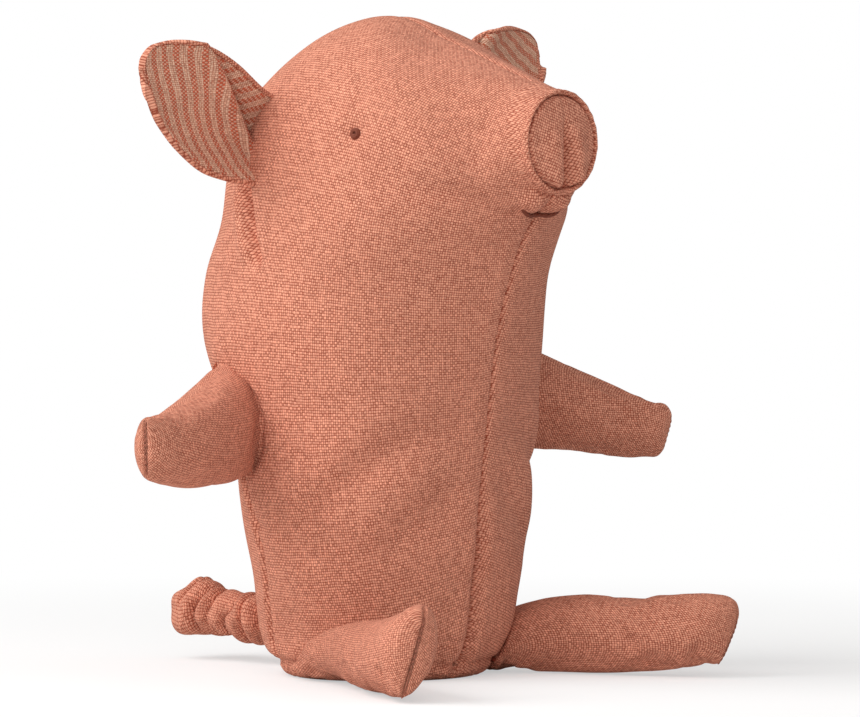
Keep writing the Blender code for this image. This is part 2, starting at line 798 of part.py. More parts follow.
def make_tail(groups, cutter_mesh):
    """The tail: a sleeve gathered into pleats on a length of elastic."""
    back_rows = [row[2:4] for row in ROWS]
    root = lifted_point(place_of(back_rows, 1, TAIL_HEIGHT), math.pi, SEAT_GAP)
    half_seam = Vector((0.0, 0.0, TAIL_SHARES[0][1] * TAIL_DIAMETER / 2))
    seam = Seam("tail", root - half_seam, root + half_seam, TAIL_TURN, groups, cutter_mesh)
    steps = TAIL_PLEATS * TAIL_RINGS_PER_PLEAT
    bore = ELASTIC / 2 + SEAM_GAP
    start = root - Vector((0.0, TAIL_INSET, 0.0))
    rows = [tail_ring(start, TAIL_BORE_SHARE * (1 - i / 4), bore) for i in range(5)]
    for i in range(steps + 1):
        length = i / steps
        share = blend_rows(TAIL_SHARES, place_of(TAIL_SHARES, 0, length))[1]
        gathered = min(length / TAIL_NECK_SHARE, 1.0)
        pleat = -math.cos(2 * math.pi * TAIL_PLEATS * length) * TAIL_PLEAT_DEPTH / 2 * gathered
        rows.append(tail_ring(start, length, share * TAIL_DIAMETER / 2 + pleat))
    mesh = capped_loft("tail_cover", rows)
    seam.carry(add_object("tail_cover", mesh, groups["parts"], "cloth"))
    end = TAIL_BORE_SHARE - SEAM_GAP / TAIL_LENGTH
    rows = [tail_ring(start, end * i / 4, ELASTIC / 2) for i in range(5)]
    mesh = capped_loft("tail_elastic", rows)
    seam.carry(add_object("tail_elastic", mesh, groups["parts"], "elastic"))


def main():
    """Builds the pig."""
    clear_scene()
    groups = {"parts": new_collection("plush_pig"), "cutters": new_collection("cutters")}
    make_body_filling(groups["parts"])
    make_base_panel(groups["parts"])
    make_snout_disc(groups["parts"])
    panels = {side: make_side_panel(side, groups["parts"]) for side in SIDES}
    bpy.context.view_layer.update()
    cutter_mesh = body_cutter_mesh()
    for side in SIDES:
        make_arm(side, groups, cutter_mesh)
        make_leg(side, groups, cutter_mesh)
        make_ear(side, groups, cutter_mesh)
        make_eye(side, panels, groups)
    make_mouth(panels, groups)
    make_tail(groups, cutter_mesh)


main()
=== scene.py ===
"""The looks of the seated plush pig: cloth, seams, stitches, light and camera.

The pig faces -Y and sits on Z = 0; its right side is at -X. Body and head are one form, a
stack of sections that rises from the base and then fans forward round the throat to the
snout. Body and limbs are dense surfaces over that form and over a limb's sections, swollen
by a cloth simulation and then sewn, creased and puckered where the photograph shows it.
Lengths are metres, angles on the body run from 0 at the centre front to a half turn at the
centre back.
"""

import logging
import math
from dataclasses import dataclass, field
from enum import Enum
from typing import Sequence

import bmesh
import bpy
import numpy as np
from mathutils import Matrix, Vector, noise


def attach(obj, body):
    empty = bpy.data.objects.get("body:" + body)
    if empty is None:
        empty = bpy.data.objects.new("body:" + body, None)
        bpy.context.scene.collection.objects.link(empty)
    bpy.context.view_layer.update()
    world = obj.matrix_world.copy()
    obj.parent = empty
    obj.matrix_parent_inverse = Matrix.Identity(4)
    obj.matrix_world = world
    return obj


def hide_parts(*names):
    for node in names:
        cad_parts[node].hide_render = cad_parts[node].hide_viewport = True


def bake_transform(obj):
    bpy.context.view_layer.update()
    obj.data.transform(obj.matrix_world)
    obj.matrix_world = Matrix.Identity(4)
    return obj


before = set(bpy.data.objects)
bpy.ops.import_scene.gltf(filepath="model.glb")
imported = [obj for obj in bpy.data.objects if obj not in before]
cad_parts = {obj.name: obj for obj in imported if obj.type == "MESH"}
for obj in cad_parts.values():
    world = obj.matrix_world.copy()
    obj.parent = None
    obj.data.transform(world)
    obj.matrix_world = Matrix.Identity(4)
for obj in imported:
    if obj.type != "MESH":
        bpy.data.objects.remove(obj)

LOG = logging.getLogger("plush_pig")
MM = 1e-3
TURN = 2 * math.pi
Array = np.ndarray
UPRIGHT = np.array([0.0, 0.0, 1.0])


class Side(Enum):
    """A side of the pig, as the sign of X on it."""

    RIGHT = -1
    LEFT = 1

    @property
    def word(self) -> str:
        """The side's name as piece names use it."""
        return self.name.lower()


class Held(Enum):
    STRETCHED = "stretched"
    FOLDED = "folded"


# ---------------------------------------------------------------------------------------
# Curves through rows of numbers
# ---------------------------------------------------------------------------------------


# The four values that a cubic between two of them looks at, from the first of the two
AROUND = (-1, 0, 1, 2)


def cubic(four: Sequence[Array], t: Array) -> Array:
    """The Catmull-Rom cubic from the second of four values, at 0, to the third, at 1."""
    a, b, c, d = four
    bend = 2 * a - 5 * b + 4 * c - d
    twist = 3 * b - a - 3 * c + d
    return 0.5 * (2 * b + (c - a) * t + bend * t**2 + twist * t**3)


def catmull_rom(rows: Array, places: Array) -> Array:
    """Values of the Catmull-Rom curve through rows.

    Args:
        rows: The rows, first axis counted by place.
        places: Places along the first axis, of any shape.

    Returns:
        An array of the places' shape followed by the rows' own shape.
    """
    last = len(rows) - 1
    places = np.clip(places, 0.0, float(last))
    floor = np.minimum(np.floor(places), last - 1)
    first = floor.astype(int)
    t = (places - floor).reshape(np.shape(places) + (1,) * (rows.ndim - 1))
    return cubic([rows[np.clip(first + step, 0, last)] for step in AROUND], t)


def place_where(column: Array, value: float) -> float:
    """The place at which a rising column reaches a value, by halving."""
    low, high = 0.0, float(len(column) - 1)
    for _ in range(40):
        middle = (low + high) / 2
        if catmull_rom(column, np.array(middle)) < value:
            low = middle
        else:
            high = middle
    return (low + high) / 2


def smoothstep(low: float, high: float, value: Array) -> Array:
    """Rises smoothly from 0 at low to 1 at high; low may be the larger one."""
    t = np.clip((value - low) / (high - low), 0.0, 1.0)
    return t * t * (3 - 2 * t)


def bell(distance: Array, width: float) -> Array:
    """A bell that is 1 at no distance and falls off over a width."""
    return np.exp(-((distance / width) ** 2))


def lumps(points: Array, size: float, seed: float) -> Array:
    """Smooth noise from -1 to 1 with lumps of about this size, at each point."""
    flat = points.reshape(-1, 3) / size + seed
    values = [noise.noise(Vector(point)) for point in flat.tolist()]
    return np.array(values).reshape(points.shape[:-1])


def unit(vectors: Array) -> Array:
    """The vectors at length 1."""
    lengths = np.linalg.norm(vectors, axis=-1, keepdims=True)
    return vectors / np.maximum(lengths, 1e-12)


def run_along(line: Array) -> Array:
    """How far along a line of points each of them lies."""
    return np.concatenate([[0.0], np.cumsum(np.linalg.norm(np.diff(line, axis=0), axis=1))])


def round_angles(count: int) -> Array:
    """This many angles, evenly round a full turn."""
    return np.linspace(0, TURN, count, endpoint=False)


def direction(azimuth: float, elevation: float = 0.0) -> Array:
    """The unit vector this far, in degrees, from straight ahead towards +X and upwards."""
    round_it, high = math.radians(azimuth), math.radians(elevation)
    return np.array(
        [
            math.sin(round_it) * math.cos(high),
            -math.cos(round_it) * math.cos(high),
            math.sin(high),
        ]
    )


@dataclass(frozen=True)
class Lattice:
    """Values on a grid of rows and columns, read anywhere between them.

    Attributes:
        values: Rows by columns by components.
        wrap: Whether the columns go round.
    """

    values: Array
    wrap: bool = False

    def at(self, row: Array, column: Array) -> Array:
        """The values at places counted in rows and in columns, arrays of one shape."""
        rows, columns = np.broadcast_arrays(row, column)
        count = self.values.shape[1]
        floor = np.floor(columns) if self.wrap else np.clip(np.floor(columns), 0, count - 2)
        first = floor.astype(int)
        t = (columns - floor)[..., None]
        picked = []
        for step in AROUND:
            index = (first + step) % count if self.wrap else np.clip(first + step, 0, count - 1)
            picked.append(self._down(rows, index))
        return cubic(picked, t)

    def _down(self, rows: Array, index: Array) -> Array:
        """The values at these rows of the columns that index names."""
        last = self.values.shape[0] - 1
        floor = np.clip(np.floor(rows), 0, last - 1)
        first = floor.astype(int)
        t = (np.clip(rows, 0, last) - floor)[..., None]
        picked = [self.values[np.clip(first + step, 0, last), index] for step in AROUND]
        return cubic(picked, t)


# ---------------------------------------------------------------------------------------
# Meshes
# ---------------------------------------------------------------------------------------


def grid_normals(points: Array, wrap: bool) -> Array:
    """Unit normals of a grid of points, columns crossed with rows."""
    down = np.gradient(points, axis=0)
    if wrap:
        over = (np.roll(points, -1, axis=1) - np.roll(points, 1, axis=1)) / 2
    else:
        over = np.gradient(points, axis=1)
    return unit(np.cross(over, down))


def grid_faces(rows: int, across: int, columns: int) -> Array:
    """The four corners of each face of a grid.

    Args:
        rows: How many rows of points there are.
        across: How many faces lie side by side.
        columns: How many points a row has, the last one followed by the first.

    Returns:
        Point numbers, faces by 4.
    """
    down, over = np.meshgrid(np.arange(rows - 1), np.arange(across), indexing="ij")
    down, over = down.ravel(), over.ravel()
    corners = ((0, 0), (0, 1), (1, 1), (1, 0))
    return np.stack([(down + i) * columns + (over + j) % columns for i, j in corners], axis=1)


def linked(name: str, data: bpy.types.ID) -> bpy.types.Object:
    """An object of this data, in the scene."""
    item = bpy.data.objects.new(name, data)
    bpy.context.scene.collection.objects.link(item)
    return item


def cloth_object(name: str, points: Array, faces: Array, laid: Array) -> bpy.types.Object:
    """A closed mesh object with a UV map named cloth, from points and faces.

    Args:
        name: The piece's name.
        points: Its points, with 3 coordinates each.
        faces: Its faces' corners, count by 4.
        laid: The cloth's coordinates in metres, for each corner of each face.

    Returns:
        The object, welded, with outward normals.
    """
    mesh = bpy.data.meshes.new(name)
    mesh.from_pydata(points.reshape(-1, 3), [], faces)
    mesh.uv_layers.new(name="cloth").data.foreach_set("uv", laid.ravel())
    return closed_object(name, mesh)


def ring_object(name: str, points: Array, cloth: Array) -> bpy.types.Object:
    """A closed mesh object from a grid whose last column joins its first.

    Args:
        name: The piece's name.
        points: Rows by columns by 3.
        cloth: The cloth's own coordinates in metres, rows by one column more by 2.

    Returns:
        The object, as cloth_object leaves it.
    """
    rows, columns = points.shape[:2]
    corners = grid_faces(rows, columns, cloth.shape[1])
    laid = cloth.reshape(-1, 2)[corners.ravel()]
    return cloth_object(name, points, grid_faces(rows, columns, columns), laid)


def poled(grid: Array) -> Array:
    """The grid with its first and its last row each followed outwards by their mean."""
    start, end = (
        np.repeat(grid[[row]].mean(axis=1, keepdims=True), grid.shape[1], axis=1)
        for row in (0, -1)
    )
    return np.concatenate([start, grid, end])


def gone_round(cloth: Array) -> Array:
    """The cloth's coordinates with one more column, as far on as the last one is."""
    return np.concatenate([cloth, cloth[:, -1:] * 2 - cloth[:, -2:-1]], axis=1)


def turned_outwards(mesh: bpy.types.Mesh, weld: float = 0.0) -> None:
    """Turns a mesh's faces outwards, after its doubles this near each other are merged."""
    shape = bmesh.new()
    shape.from_mesh(mesh)
    if weld:
        bmesh.ops.remove_doubles(shape, verts=shape.verts, dist=weld)
    bmesh.ops.recalc_face_normals(shape, faces=shape.faces)
    shape.to_mesh(mesh)
    shape.free()


def closed_object(name: str, mesh: bpy.types.Mesh) -> bpy.types.Object:
    """An object of this mesh, its doubles merged, its normals outward, shaded smooth."""
    turned_outwards(mesh, weld=1e-6)
    mesh.shade_smooth()
    mesh.set_sharp_from_angle(angle=math.radians(55.0))
    return linked(name, mesh)


def joined_object(name: str, parts: Sequence[bpy.types.Object]) -> bpy.types.Object:
    """One object made of several, which it takes the place of."""
    shape = bmesh.new()
    for part in parts:
        shape.from_mesh(part.data)
    mesh = bpy.data.meshes.new(name)
    shape.to_mesh(mesh)
    shape.free()
    mesh.shade_smooth()
    for part in parts:
        bpy.data.objects.remove(part)
    return linked(name, mesh)


@dataclass(frozen=True)
class Swelling:
    """The cloth simulation that stuffs a piece.

    Attributes:
        pressure: Of the stuffing on the cloth.
        frames: How many frames it runs.
        cap: The furthest that a point moves.
        slack: By how much the cloth is larger than the form, as a share.
        bending: How stiffly the cloth bends.
        mass: Of each of its points.
        quality: In how many steps each frame is worked out.
    """

    pressure: float = 4.0
    frames: int = 20
    cap: float = 2.6 * MM
    slack: float = 0.03
    bending: float = 0.05
    mass: float = 0.2
    quality: int = 6

    def moved(self, points: Array, pinned: Array) -> Array:
        """How far each point of a closed ring grid moves when it is stuffed.

        Args:
            points: Rows by columns by 3, columns going round.
            pinned: From 0 to 1 for each point, 1 where a seam holds it.
        """
        rows, columns = points.shape[:2]
        faces = grid_faces(rows, columns, columns).tolist()
        faces += [list(range(columns)), list(range((rows - 1) * columns, rows * columns))]
        mesh = bpy.data.meshes.new("swelling")
        mesh.from_pydata(points.reshape(-1, 3).tolist(), [], faces)
        turned_outwards(mesh)
        item = linked("swelling", mesh)
        group = item.vertex_groups.new(name="seams")
        for index, weight in enumerate(pinned.ravel().tolist()):
            if weight > 0:
                group.add([index], weight, "REPLACE")
        cloth = item.modifiers.new("stuffing", "CLOTH")
        settings = cloth.settings
        settings.quality = self.quality
        settings.mass = self.mass
        settings.bending_stiffness = self.bending
        settings.use_pressure = True
        settings.uniform_pressure_force = self.pressure
        settings.vertex_group_mass = "seams"
        settings.pin_stiffness = 1.0
        settings.shrink_min = -self.slack
        settings.effector_weights.gravity = 0.0
        cloth.point_cache.frame_start = 1
        cloth.point_cache.frame_end = self.frames
        for number in range(1, self.frames + 1):
            bpy.context.scene.frame_set(number)
        evaluated = item.evaluated_get(bpy.context.evaluated_depsgraph_get())
        after = np.zeros(len(evaluated.data.vertices) * 3, np.float32)
        evaluated.data.vertices.foreach_get("co", after)
        move = after.reshape(points.shape).astype(float) - points
        bpy.data.objects.remove(item)
        bpy.data.meshes.remove(mesh)
        bpy.context.scene.frame_set(1)
        length = np.linalg.norm(move, axis=-1, keepdims=True)
        return move * np.tanh(length / self.cap) * self.cap / np.maximum(length, 1e-9)


# ---------------------------------------------------------------------------------------
# The form of body and head
# ---------------------------------------------------------------------------------------


@dataclass(frozen=True)
class BodySizes:
    """Driving sizes of body and head, as the CAD source has them."""

    height: float = 0.1996
    width: float = 0.0965
    back_reach: float = 0.0600
    snout_reach: float = 0.0744
    snout_height: float = 0.1608
    snout_diameter: float = 0.0306
    snout_rim: float = 0.0027
    neck_share: float = 0.60
    disc_radius: float = 0.0140
    disc_inset: float = 0.0023


# How far forward and how high the front and the back of each section lies, and its half
# width, as shares of the reach, the height and half the width.
BODY_SHARES = (
    (0.356, 0.000, -0.442, 0.000, 0.590),
    (0.412, 0.008, -0.502, 0.008, 0.688),
    (0.436, 0.023, -0.528, 0.023, 0.728),
    (0.468, 0.043, -0.588, 0.043, 0.762),
    (0.514, 0.086, -0.633, 0.086, 0.810),
    (0.550, 0.176, -0.667, 0.176, 0.872),
    (0.577, 0.278, -0.713, 0.278, 0.938),
    (0.609, 0.389, -0.795, 0.389, 0.976),
    (0.656, 0.500, -0.960, 0.510, 1.000),
    (0.716, 0.586, -1.000, 0.606, 0.972),
    (0.788, 0.650, -0.938, 0.706, 0.932),
    (0.848, 0.685, -0.830, 0.804, 0.894),
    (0.878, 0.698, -0.668, 0.893, 0.852),
    (0.900, 0.706, -0.300, 0.972, 0.790),
    (0.918, 0.712, 0.085, 1.000, 0.690),
    (0.936, 0.718, 0.400, 0.964, 0.560),
)
# The roll of cloth round the snout, ahead of its reach and outside its radius, in millimetres
RIM_ROLL = ((-1.3, 0.30), (-0.2, 0.05), (0.2, -0.55), (-0.5, -1.20), (-2.8, -1.50))
# The places, counted in sections, of the base seam and of the side panels' hem inside it
BASE_SEAM = 2.0
HEM = 1.05
# How far outside the form a limb or an ear is sewn to it, in millimetres
SEAM_PROUD = 0.35
# How much fuller than an oval each section is half way from its side to its front, and half
# way from its side to its back, as shares
BODY_FULLNESS = {
    7: (0.000, 0.005),
    8: (0.015, 0.015),
    9: (0.020, 0.005),
    10: (0.020, 0.005),
    11: (0.015, 0.025),
    12: (0.000, 0.030),
    13: (0.000, -0.005),
    14: (0.000, -0.045),
    15: (0.000, -0.025),
}


class BodyForm:
    """The smooth form of body and head, as sections from the base to the snout's seam."""

    def __init__(self, sizes: BodySizes) -> None:
        """Lays out the sections.

        Args:
            sizes: The driving sizes.
        """
        self.sizes = sizes
        reach = sizes.snout_reach
        rows = []
        for front, low, back, high, half in BODY_SHARES:
            behind = reach if back >= 0 else sizes.back_reach
            ahead = (front * reach, low * sizes.height)
            rows.append((*ahead, back * behind, high * sizes.height, half * sizes.width / 2))
        radius = sizes.snout_diameter / 2
        ring = self._ring(reach - sizes.snout_rim, radius)
        rows.append(tuple(a + (b - a) * sizes.neck_share for a, b in zip(rows[-1], ring)))
        rows.append(ring)
        self.rim = float(len(rows) - 1)
        for ahead, outside in RIM_ROLL:
            rows.append(self._ring(reach + ahead * MM, radius + outside * MM))
        fullness = [BODY_FULLNESS.get(index, (0.0, 0.0)) for index in range(len(rows))]
        self.rows = np.array([(*row, *full) for row, full in zip(rows, fullness)])
        self.top = float(len(rows) - 1)

    def _ring(self, forward: float, radius: float) -> tuple[float, ...]:
        """A round upright section about the snout's middle."""
        middle = self.sizes.snout_height
        return (forward, middle - radius, forward, middle + radius, radius)

    def point(self, place: Array, angle: Array) -> Array:
        """Points of the form at places counted in sections and at angles."""
        row = catmull_rom(self.rows, np.asarray(place, float))
        cosine, sine = np.cos(angle), np.sin(angle)
        fuller = 1 + np.where(cosine > 0, row[..., 5], row[..., 6]) * np.sin(2 * angle) ** 2
        share = (1 + cosine * fuller) / 2
        forward = row[..., 2] + (row[..., 0] - row[..., 2]) * share
        height = row[..., 3] + (row[..., 1] - row[..., 3]) * share
        return np.stack([-row[..., 4] * sine * fuller, -forward, height], axis=-1)

    def normal(self, place: Array, angle: Array) -> Array:
        """Outward unit normals of the form."""
        step = 1e-3
        low = np.clip(np.asarray(place, float) - step, 0.0, self.top)
        high = np.clip(np.asarray(place, float) + step, 0.0, self.top)
        along = self.point(high, angle) - self.point(low, angle)
        around = self.point(place, angle + step) - self.point(place, angle - step)
        return unit(np.cross(along, around))

    def seam_point(self, place: Array, angle: Array) -> Array:
        """Points just outside the form, where a limb or an ear is sewn to it."""
        return self.point(place, angle) + self.normal(place, angle) * SEAM_PROUD * MM

    def seat(self, forward: float, height: float, side: Side) -> tuple[float, float]:
        """The place and angle of the side's surface at a forward place and a height."""
        places, angles = np.meshgrid(
            np.linspace(BASE_SEAM, self.rim, 41), np.linspace(0.05, 3.09, 61), indexing="ij"
        )

        def miss(place: Array, angle: Array) -> Array:
            """How far forward of the place and above the height the surface lies."""
            found = self.point(place, angle)
            return np.stack([-found[..., 1] - forward, found[..., 2] - height], axis=-1)

        nearest = np.linalg.norm(miss(places, angles), axis=-1).argmin()
        place, angle = places.ravel()[nearest], angles.ravel()[nearest]
        step = 1e-4
        for _ in range(20):
            error = miss(place, angle)
            by_place = (miss(place + step, angle) - error) / step
            by_angle = (miss(place, angle + step) - error) / step
            change = np.linalg.solve(np.stack([by_place, by_angle], axis=1), error)
            place, angle = place - change[0], angle - change[1]
        return float(place), float(-side.value * angle)

    def even_places(self, count: int, start: float, end: float) -> Array:
        """Places between start and end that lie evenly along the form's mean meridian."""
        fine = np.linspace(start, end, 1200)
        steps = np.zeros(len(fine) - 1)
        for angle in (0.0, math.pi / 2, math.pi):
            line = self.point(fine, np.full_like(fine, angle))
            steps += np.linalg.norm(np.diff(line, axis=0), axis=1)
        length = np.concatenate([[0.0], np.cumsum(steps)])
        return np.interp(np.linspace(0, length[-1], count), length, fine)


def polyline_distance(x: Array, y: Array, path: Array) -> tuple[Array, Array, Array]:
    """Where points of a plane lie beside a polyline.

    Args:
        x: First coordinates.
        y: Second coordinates.
        path: The polyline's points, count by 2.

    Returns:
        The distance, which is negative to the left of the path's way; the distance from the
        path's start, along it; and the path's whole length.
    """
    best = np.full(x.shape, np.inf)
    signed = np.zeros(x.shape)
    along = np.zeros(x.shape)
    done = 0.0
    for (x0, y0), (x1, y1) in zip(path, path[1:]):
        length = math.hypot(x1 - x0, y1 - y0)
        ux, uy = (x1 - x0) / length, (y1 - y0) / length
        t = np.clip((x - x0) * ux + (y - y0) * uy, 0.0, length)
        dx, dy = x - x0 - t * ux, y - y0 - t * uy
        distance = np.hypot(dx, dy)
        closer = distance < best
        cross = ux * dy - uy * dx
        best = np.where(closer, distance, best)
        signed = np.where(closer, np.where(cross > 0, -distance, distance), signed)
        along = np.where(closer, done + t, along)
        done += length
    return signed, along, done


@dataclass(frozen=True)
class Crease:
    """A groove in the body's sides along a line, with a swollen lip on one of its sides.

    Attributes:
        path: Its points, (forward, height) in millimetres.
        depth: Of the groove, in millimetres.
        width: Of the groove, in millimetres.
        lip: How far the cloth stands out behind the line, in millimetres.
        lip_width: How wide that lip is, in millimetres.
        fade: How long its ends take to run out, in millimetres.
    """

    path: tuple[tuple[float, float], ...]
    depth: float
    width: float
    lip: float = 0.0
    lip_width: float = 2.0
    fade: float = 5.0

    def lift(self, forward: Array, height: Array) -> Array:
        """The outward displacement at points given in millimetres, in millimetres."""
        signed, along, length = polyline_distance(forward, height, np.array(self.path))
        ends = smoothstep(0, self.fade, along) * smoothstep(0, self.fade, length - along)
        groove = -self.depth * bell(signed, self.width)
        lip = self.lip * bell(signed - self.lip_width, self.lip_width)
        return (groove + lip) * (0.15 + 0.85 * ends) * (np.abs(signed) < 6 * self.width + 9)


@dataclass(frozen=True)
class Mound:
    """A rounded rise or hollow in the body's surface.

    Attributes:
        centre: (forward, across, height) in millimetres; across counts from the middle.
        radii: Its reach in those three directions, in millimetres.
        rise: How far it stands out, or is sunk if negative, in millimetres.
    """

    centre: tuple[float, float, float]
    radii: tuple[float, float, float]
    rise: float

    def lift(self, forward: Array, across: Array, height: Array) -> Array:
        """The outward displacement at points given in millimetres, in millimetres."""
        square = np.zeros(forward.shape)
        for value, middle, radius in zip((forward, across, height), self.centre, self.radii):
            square = square + ((value - middle) / radius) ** 2
        return self.rise * np.exp(-square)


CREASES = (
    # the pleat that runs down from the ear's root
    Crease(
        ((-18, 151), (-14.5, 144), (-11.6, 137), (-9.2, 131), (-4, 122)), 3.2, 1.6, fade=6.0
    ),
    Crease(
        ((-22.5, 150), (-19, 143), (-16, 136), (-13.2, 130), (-8.5, 123)), -2.1, 2.7, fade=8.0
    ),
    # the pinch where the arm is sewn in
    Crease(((-12, 91), (-6, 85), (-3.2, 78.3), (-4.8, 69.9), (-12.9, 60.5)), 1.3, 1.2),
    # the dart below the arm, with its puckered spot at the arm's underside
    Crease(
        ((-17, 66), (-11.5, 48), (-10, 40), (-11, 26), (-14, 12), (-12, 3)), 1.2, 0.7, 0.6, 1.8
    ),
    Crease(((-16, 52), (-11, 47.5), (-5, 46)), 0.9, 1.6, 0.3, 2.0, 3.0),
    # broad folds that slant down across the belly
    Crease(((46, 80), (31, 67), (17, 54), (4, 44)), 1.9, 4.2, 1.1, 7.5, 14.0),
    Crease(((48, 66), (39, 51), (28, 36)), 1.6, 3.6, 0.9, 6.5, 12.0),
    # soft folds that the arm's seam pulls into the belly
    Crease(((2, 90), (14, 84), (26, 84)), 0.45, 5.0, 0.2, 6.0, 14.0),
    Crease(((-4, 56), (8, 40), (20, 30)), 0.35, 3.5, 0.25, 5.0, 12.0),
    Crease(((-2, 78), (8, 70), (22, 62), (34, 60)), 0.25, 4.0, 0.2, 6.0, 14.0),
    # pulls above and below the eye
    Crease(((24, 181), (25.5, 172), (26.8, 165)), 0.55, 1.8, 0.15, 2.0, 7.0),
    Crease(((26.8, 160), (27.5, 154), (31, 147)), 0.45, 2.0, 0.15, 2.5, 8.0),
    # hollow between cheek and snout
    Crease(((61, 176), (62, 160), (59, 146)), 0.7, 3.2, fade=12.0),
    # pull from the mouth's end into the cheek
    Crease(((62, 141), (56, 138), (50, 139)), 0.3, 2.0, fade=6.0),
)
MOUNDS = (
    Mound((-24.0, 38.0, 99.0), (6.0, 14.0, 5.0), 1.5),
    Mound((26.6, 37, 162.4), (3.6, 9.0, 3.6), -1.9),
    Mound((67.0, 5.4, 143.8), (4.6, 4.4, 3.4), 2.7),
    Mound((64.0, 9.0, 140.0), (4.0, 3.0, 2.4), -0.6),
    Mound((64.5, 0.0, 138.4), (4.0, 9.0, 1.6), -0.8),
    Mound((20.0, 44.0, 110.0), (30.0, 20.0, 26.0), 0.5),
    Mound((12.0, 38.0, 28.0), (18.0, 16.0, 18.0), 0.8),
)


class BodySurface:
    """The sewn and stuffed surface of body and head."""

    COARSE_ROWS = 58
    COARSE_COLUMNS = 64
    INSET = 1.1 * MM
    SEAM_HOLD = 0.9

    def __init__(self, form: BodyForm) -> None:
        """Stuffs the form.

        Args:
            form: The smooth form.
        """
        self.form = form
        self.coarse = form.even_places(self.COARSE_ROWS, BASE_SEAM, form.rim)
        angles = round_angles(self.COARSE_COLUMNS)
        place, angle = np.meshgrid(self.coarse, angles, indexing="ij")
        start = form.point(place, angle) - form.normal(place, angle) * self.INSET
        pinned = np.zeros(place.shape)
        pinned[[0, -1]] = 1.0
        half = self.COARSE_COLUMNS // 2
        pinned[:, [0, half]] = self.SEAM_HOLD
        move = Swelling().moved(start, pinned)
        outward = np.sum(move * form.normal(place, angle), axis=-1) / MM
        LOG.info("body swells %.2f mm, at most %.2f mm", outward.mean(), outward.max())
        for _ in range(3):
            move = (np.roll(move, 1, axis=1) + 2 * move + np.roll(move, -1, axis=1)) / 4
            move[1:-1] = (move[:-2] + 2 * move[1:-1] + move[2:]) / 4
        self.swell = Lattice(move, wrap=True)
        self.fine = fine = np.linspace(HEM, form.top, 800)
        self.front_run, self.back_run = (
            run_along(form.point(fine, np.full_like(fine, where))) for where in (0.0, math.pi)
        )

    def at(self, place: Array, angle: Array) -> Array:
        """Points of the finished surface."""
        smooth = self.form.point(place, angle)
        normal = self.form.normal(place, angle)
        row = np.interp(place, self.coarse, np.arange(self.COARSE_ROWS))
        column = np.mod(angle / TURN, 1.0) * self.COARSE_COLUMNS
        past_rim = 1 - smoothstep(self.form.rim - 0.8, self.form.rim, np.asarray(place))
        swell = 0.0
        swell = self.swell.at(row, column) * past_rim[..., None]
        lift = self._lift(smooth, place, angle) * MM - (
            (self.INSET * past_rim * 0.75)
        )
        return smooth + swell + normal * lift[..., None]

    def _lift(self, smooth: Array, place: Array, angle: Array) -> Array:
        """The displacement of seams, creases and lumps, outwards in millimetres."""
        x, y, z = (smooth[..., axis] / MM for axis in range(3))
        forward, across = -y, np.abs(x)
        flank = smoothstep(6, 14, across)
        lift = np.zeros(x.shape)
        for crease in CREASES:
            lift = lift + crease.lift(forward, z) * flank
        for mound in MOUNDS:
            lift = lift + mound.lift(forward, across, z)
        on_rim = smoothstep(self.form.rim - 1.0, self.form.rim - 0.2, np.asarray(place))
        lift = lift + self._seam(across, z, place, angle) * (1 - 0.8 * on_rim)
        lift = lift + self._base_edge(z, angle, place)
        lift = lift * (1 - on_rim)
        lift = lift + self._rim(place, angle) * on_rim
        big = lumps(smooth, 0.034, 3.1) * 0.45
        big = big + lumps(smooth, 0.012, 7.7) * (0.05 + 0.08 * smoothstep(110, 60, z))
        return lift + big * (1 - 0.8 * on_rim) * smoothstep(0, 8, across + 3)

    def _seam(self, across: Array, z: Array, place: Array, angle: Array) -> Array:
        """The grooves of the centre front and centre back seams, with their puckers."""
        in_front = np.cos(angle) > 0
        front, back = (
            np.interp(place, self.fine, run) for run in (self.front_run, self.back_run)
        )
        run = np.where(in_front, front, back) / MM
        low = smoothstep(64, 44, z)
        depth = np.where(in_front, 0.55 + 1.3 * low, 0.8)
        width = np.where(in_front, 1.0 + 1.1 * low, 1.3)
        groove = -depth * bell(across, width) - (0.55 + 0.7 * low) * bell(across, 0.42)
        groove = groove + np.where(in_front, 0.3 + 0.5 * low, 0.25) * bell(across - 4.5, 3.0)
        ripple = np.sin(run * (TURN / 2.9) + 1.7 * np.sin(run * 0.31))
        return groove + (0.03 + 0.06 * low) * ripple * bell(across - 1.4, 1.3)

    def _base_edge(self, z: Array, angle: Array, place: Array) -> Array:
        """The groove above the base seam, puckered round the base."""
        near = np.asarray(place) < 6
        around = np.asarray(angle)
        ripple = np.sin(around * 43 + 1.3 * np.sin(around * 5))
        groove = -0.75 * bell(z - 4.4, 1.0) + 0.30 * bell(z - 8.5, 3.0)
        return np.where(near, groove + 0.10 * ripple * bell(z - 5.0, 1.8), 0.0)

    def _rim(self, place: Array, angle: Array) -> Array:
        """Puckers of the roll of cloth round the snout."""
        a = np.asarray(angle)
        ripple = np.sin(a * 17 + 2 * np.sin(a * 3)) * 0.6 + np.sin(a * 29) * 0.4
        return 0.14 * ripple * bell(np.asarray(place) - (self.form.rim + 1.2), 1.2)


# ---------------------------------------------------------------------------------------
# Materials
# ---------------------------------------------------------------------------------------

Socket = bpy.types.NodeSocket
Input = float | Socket


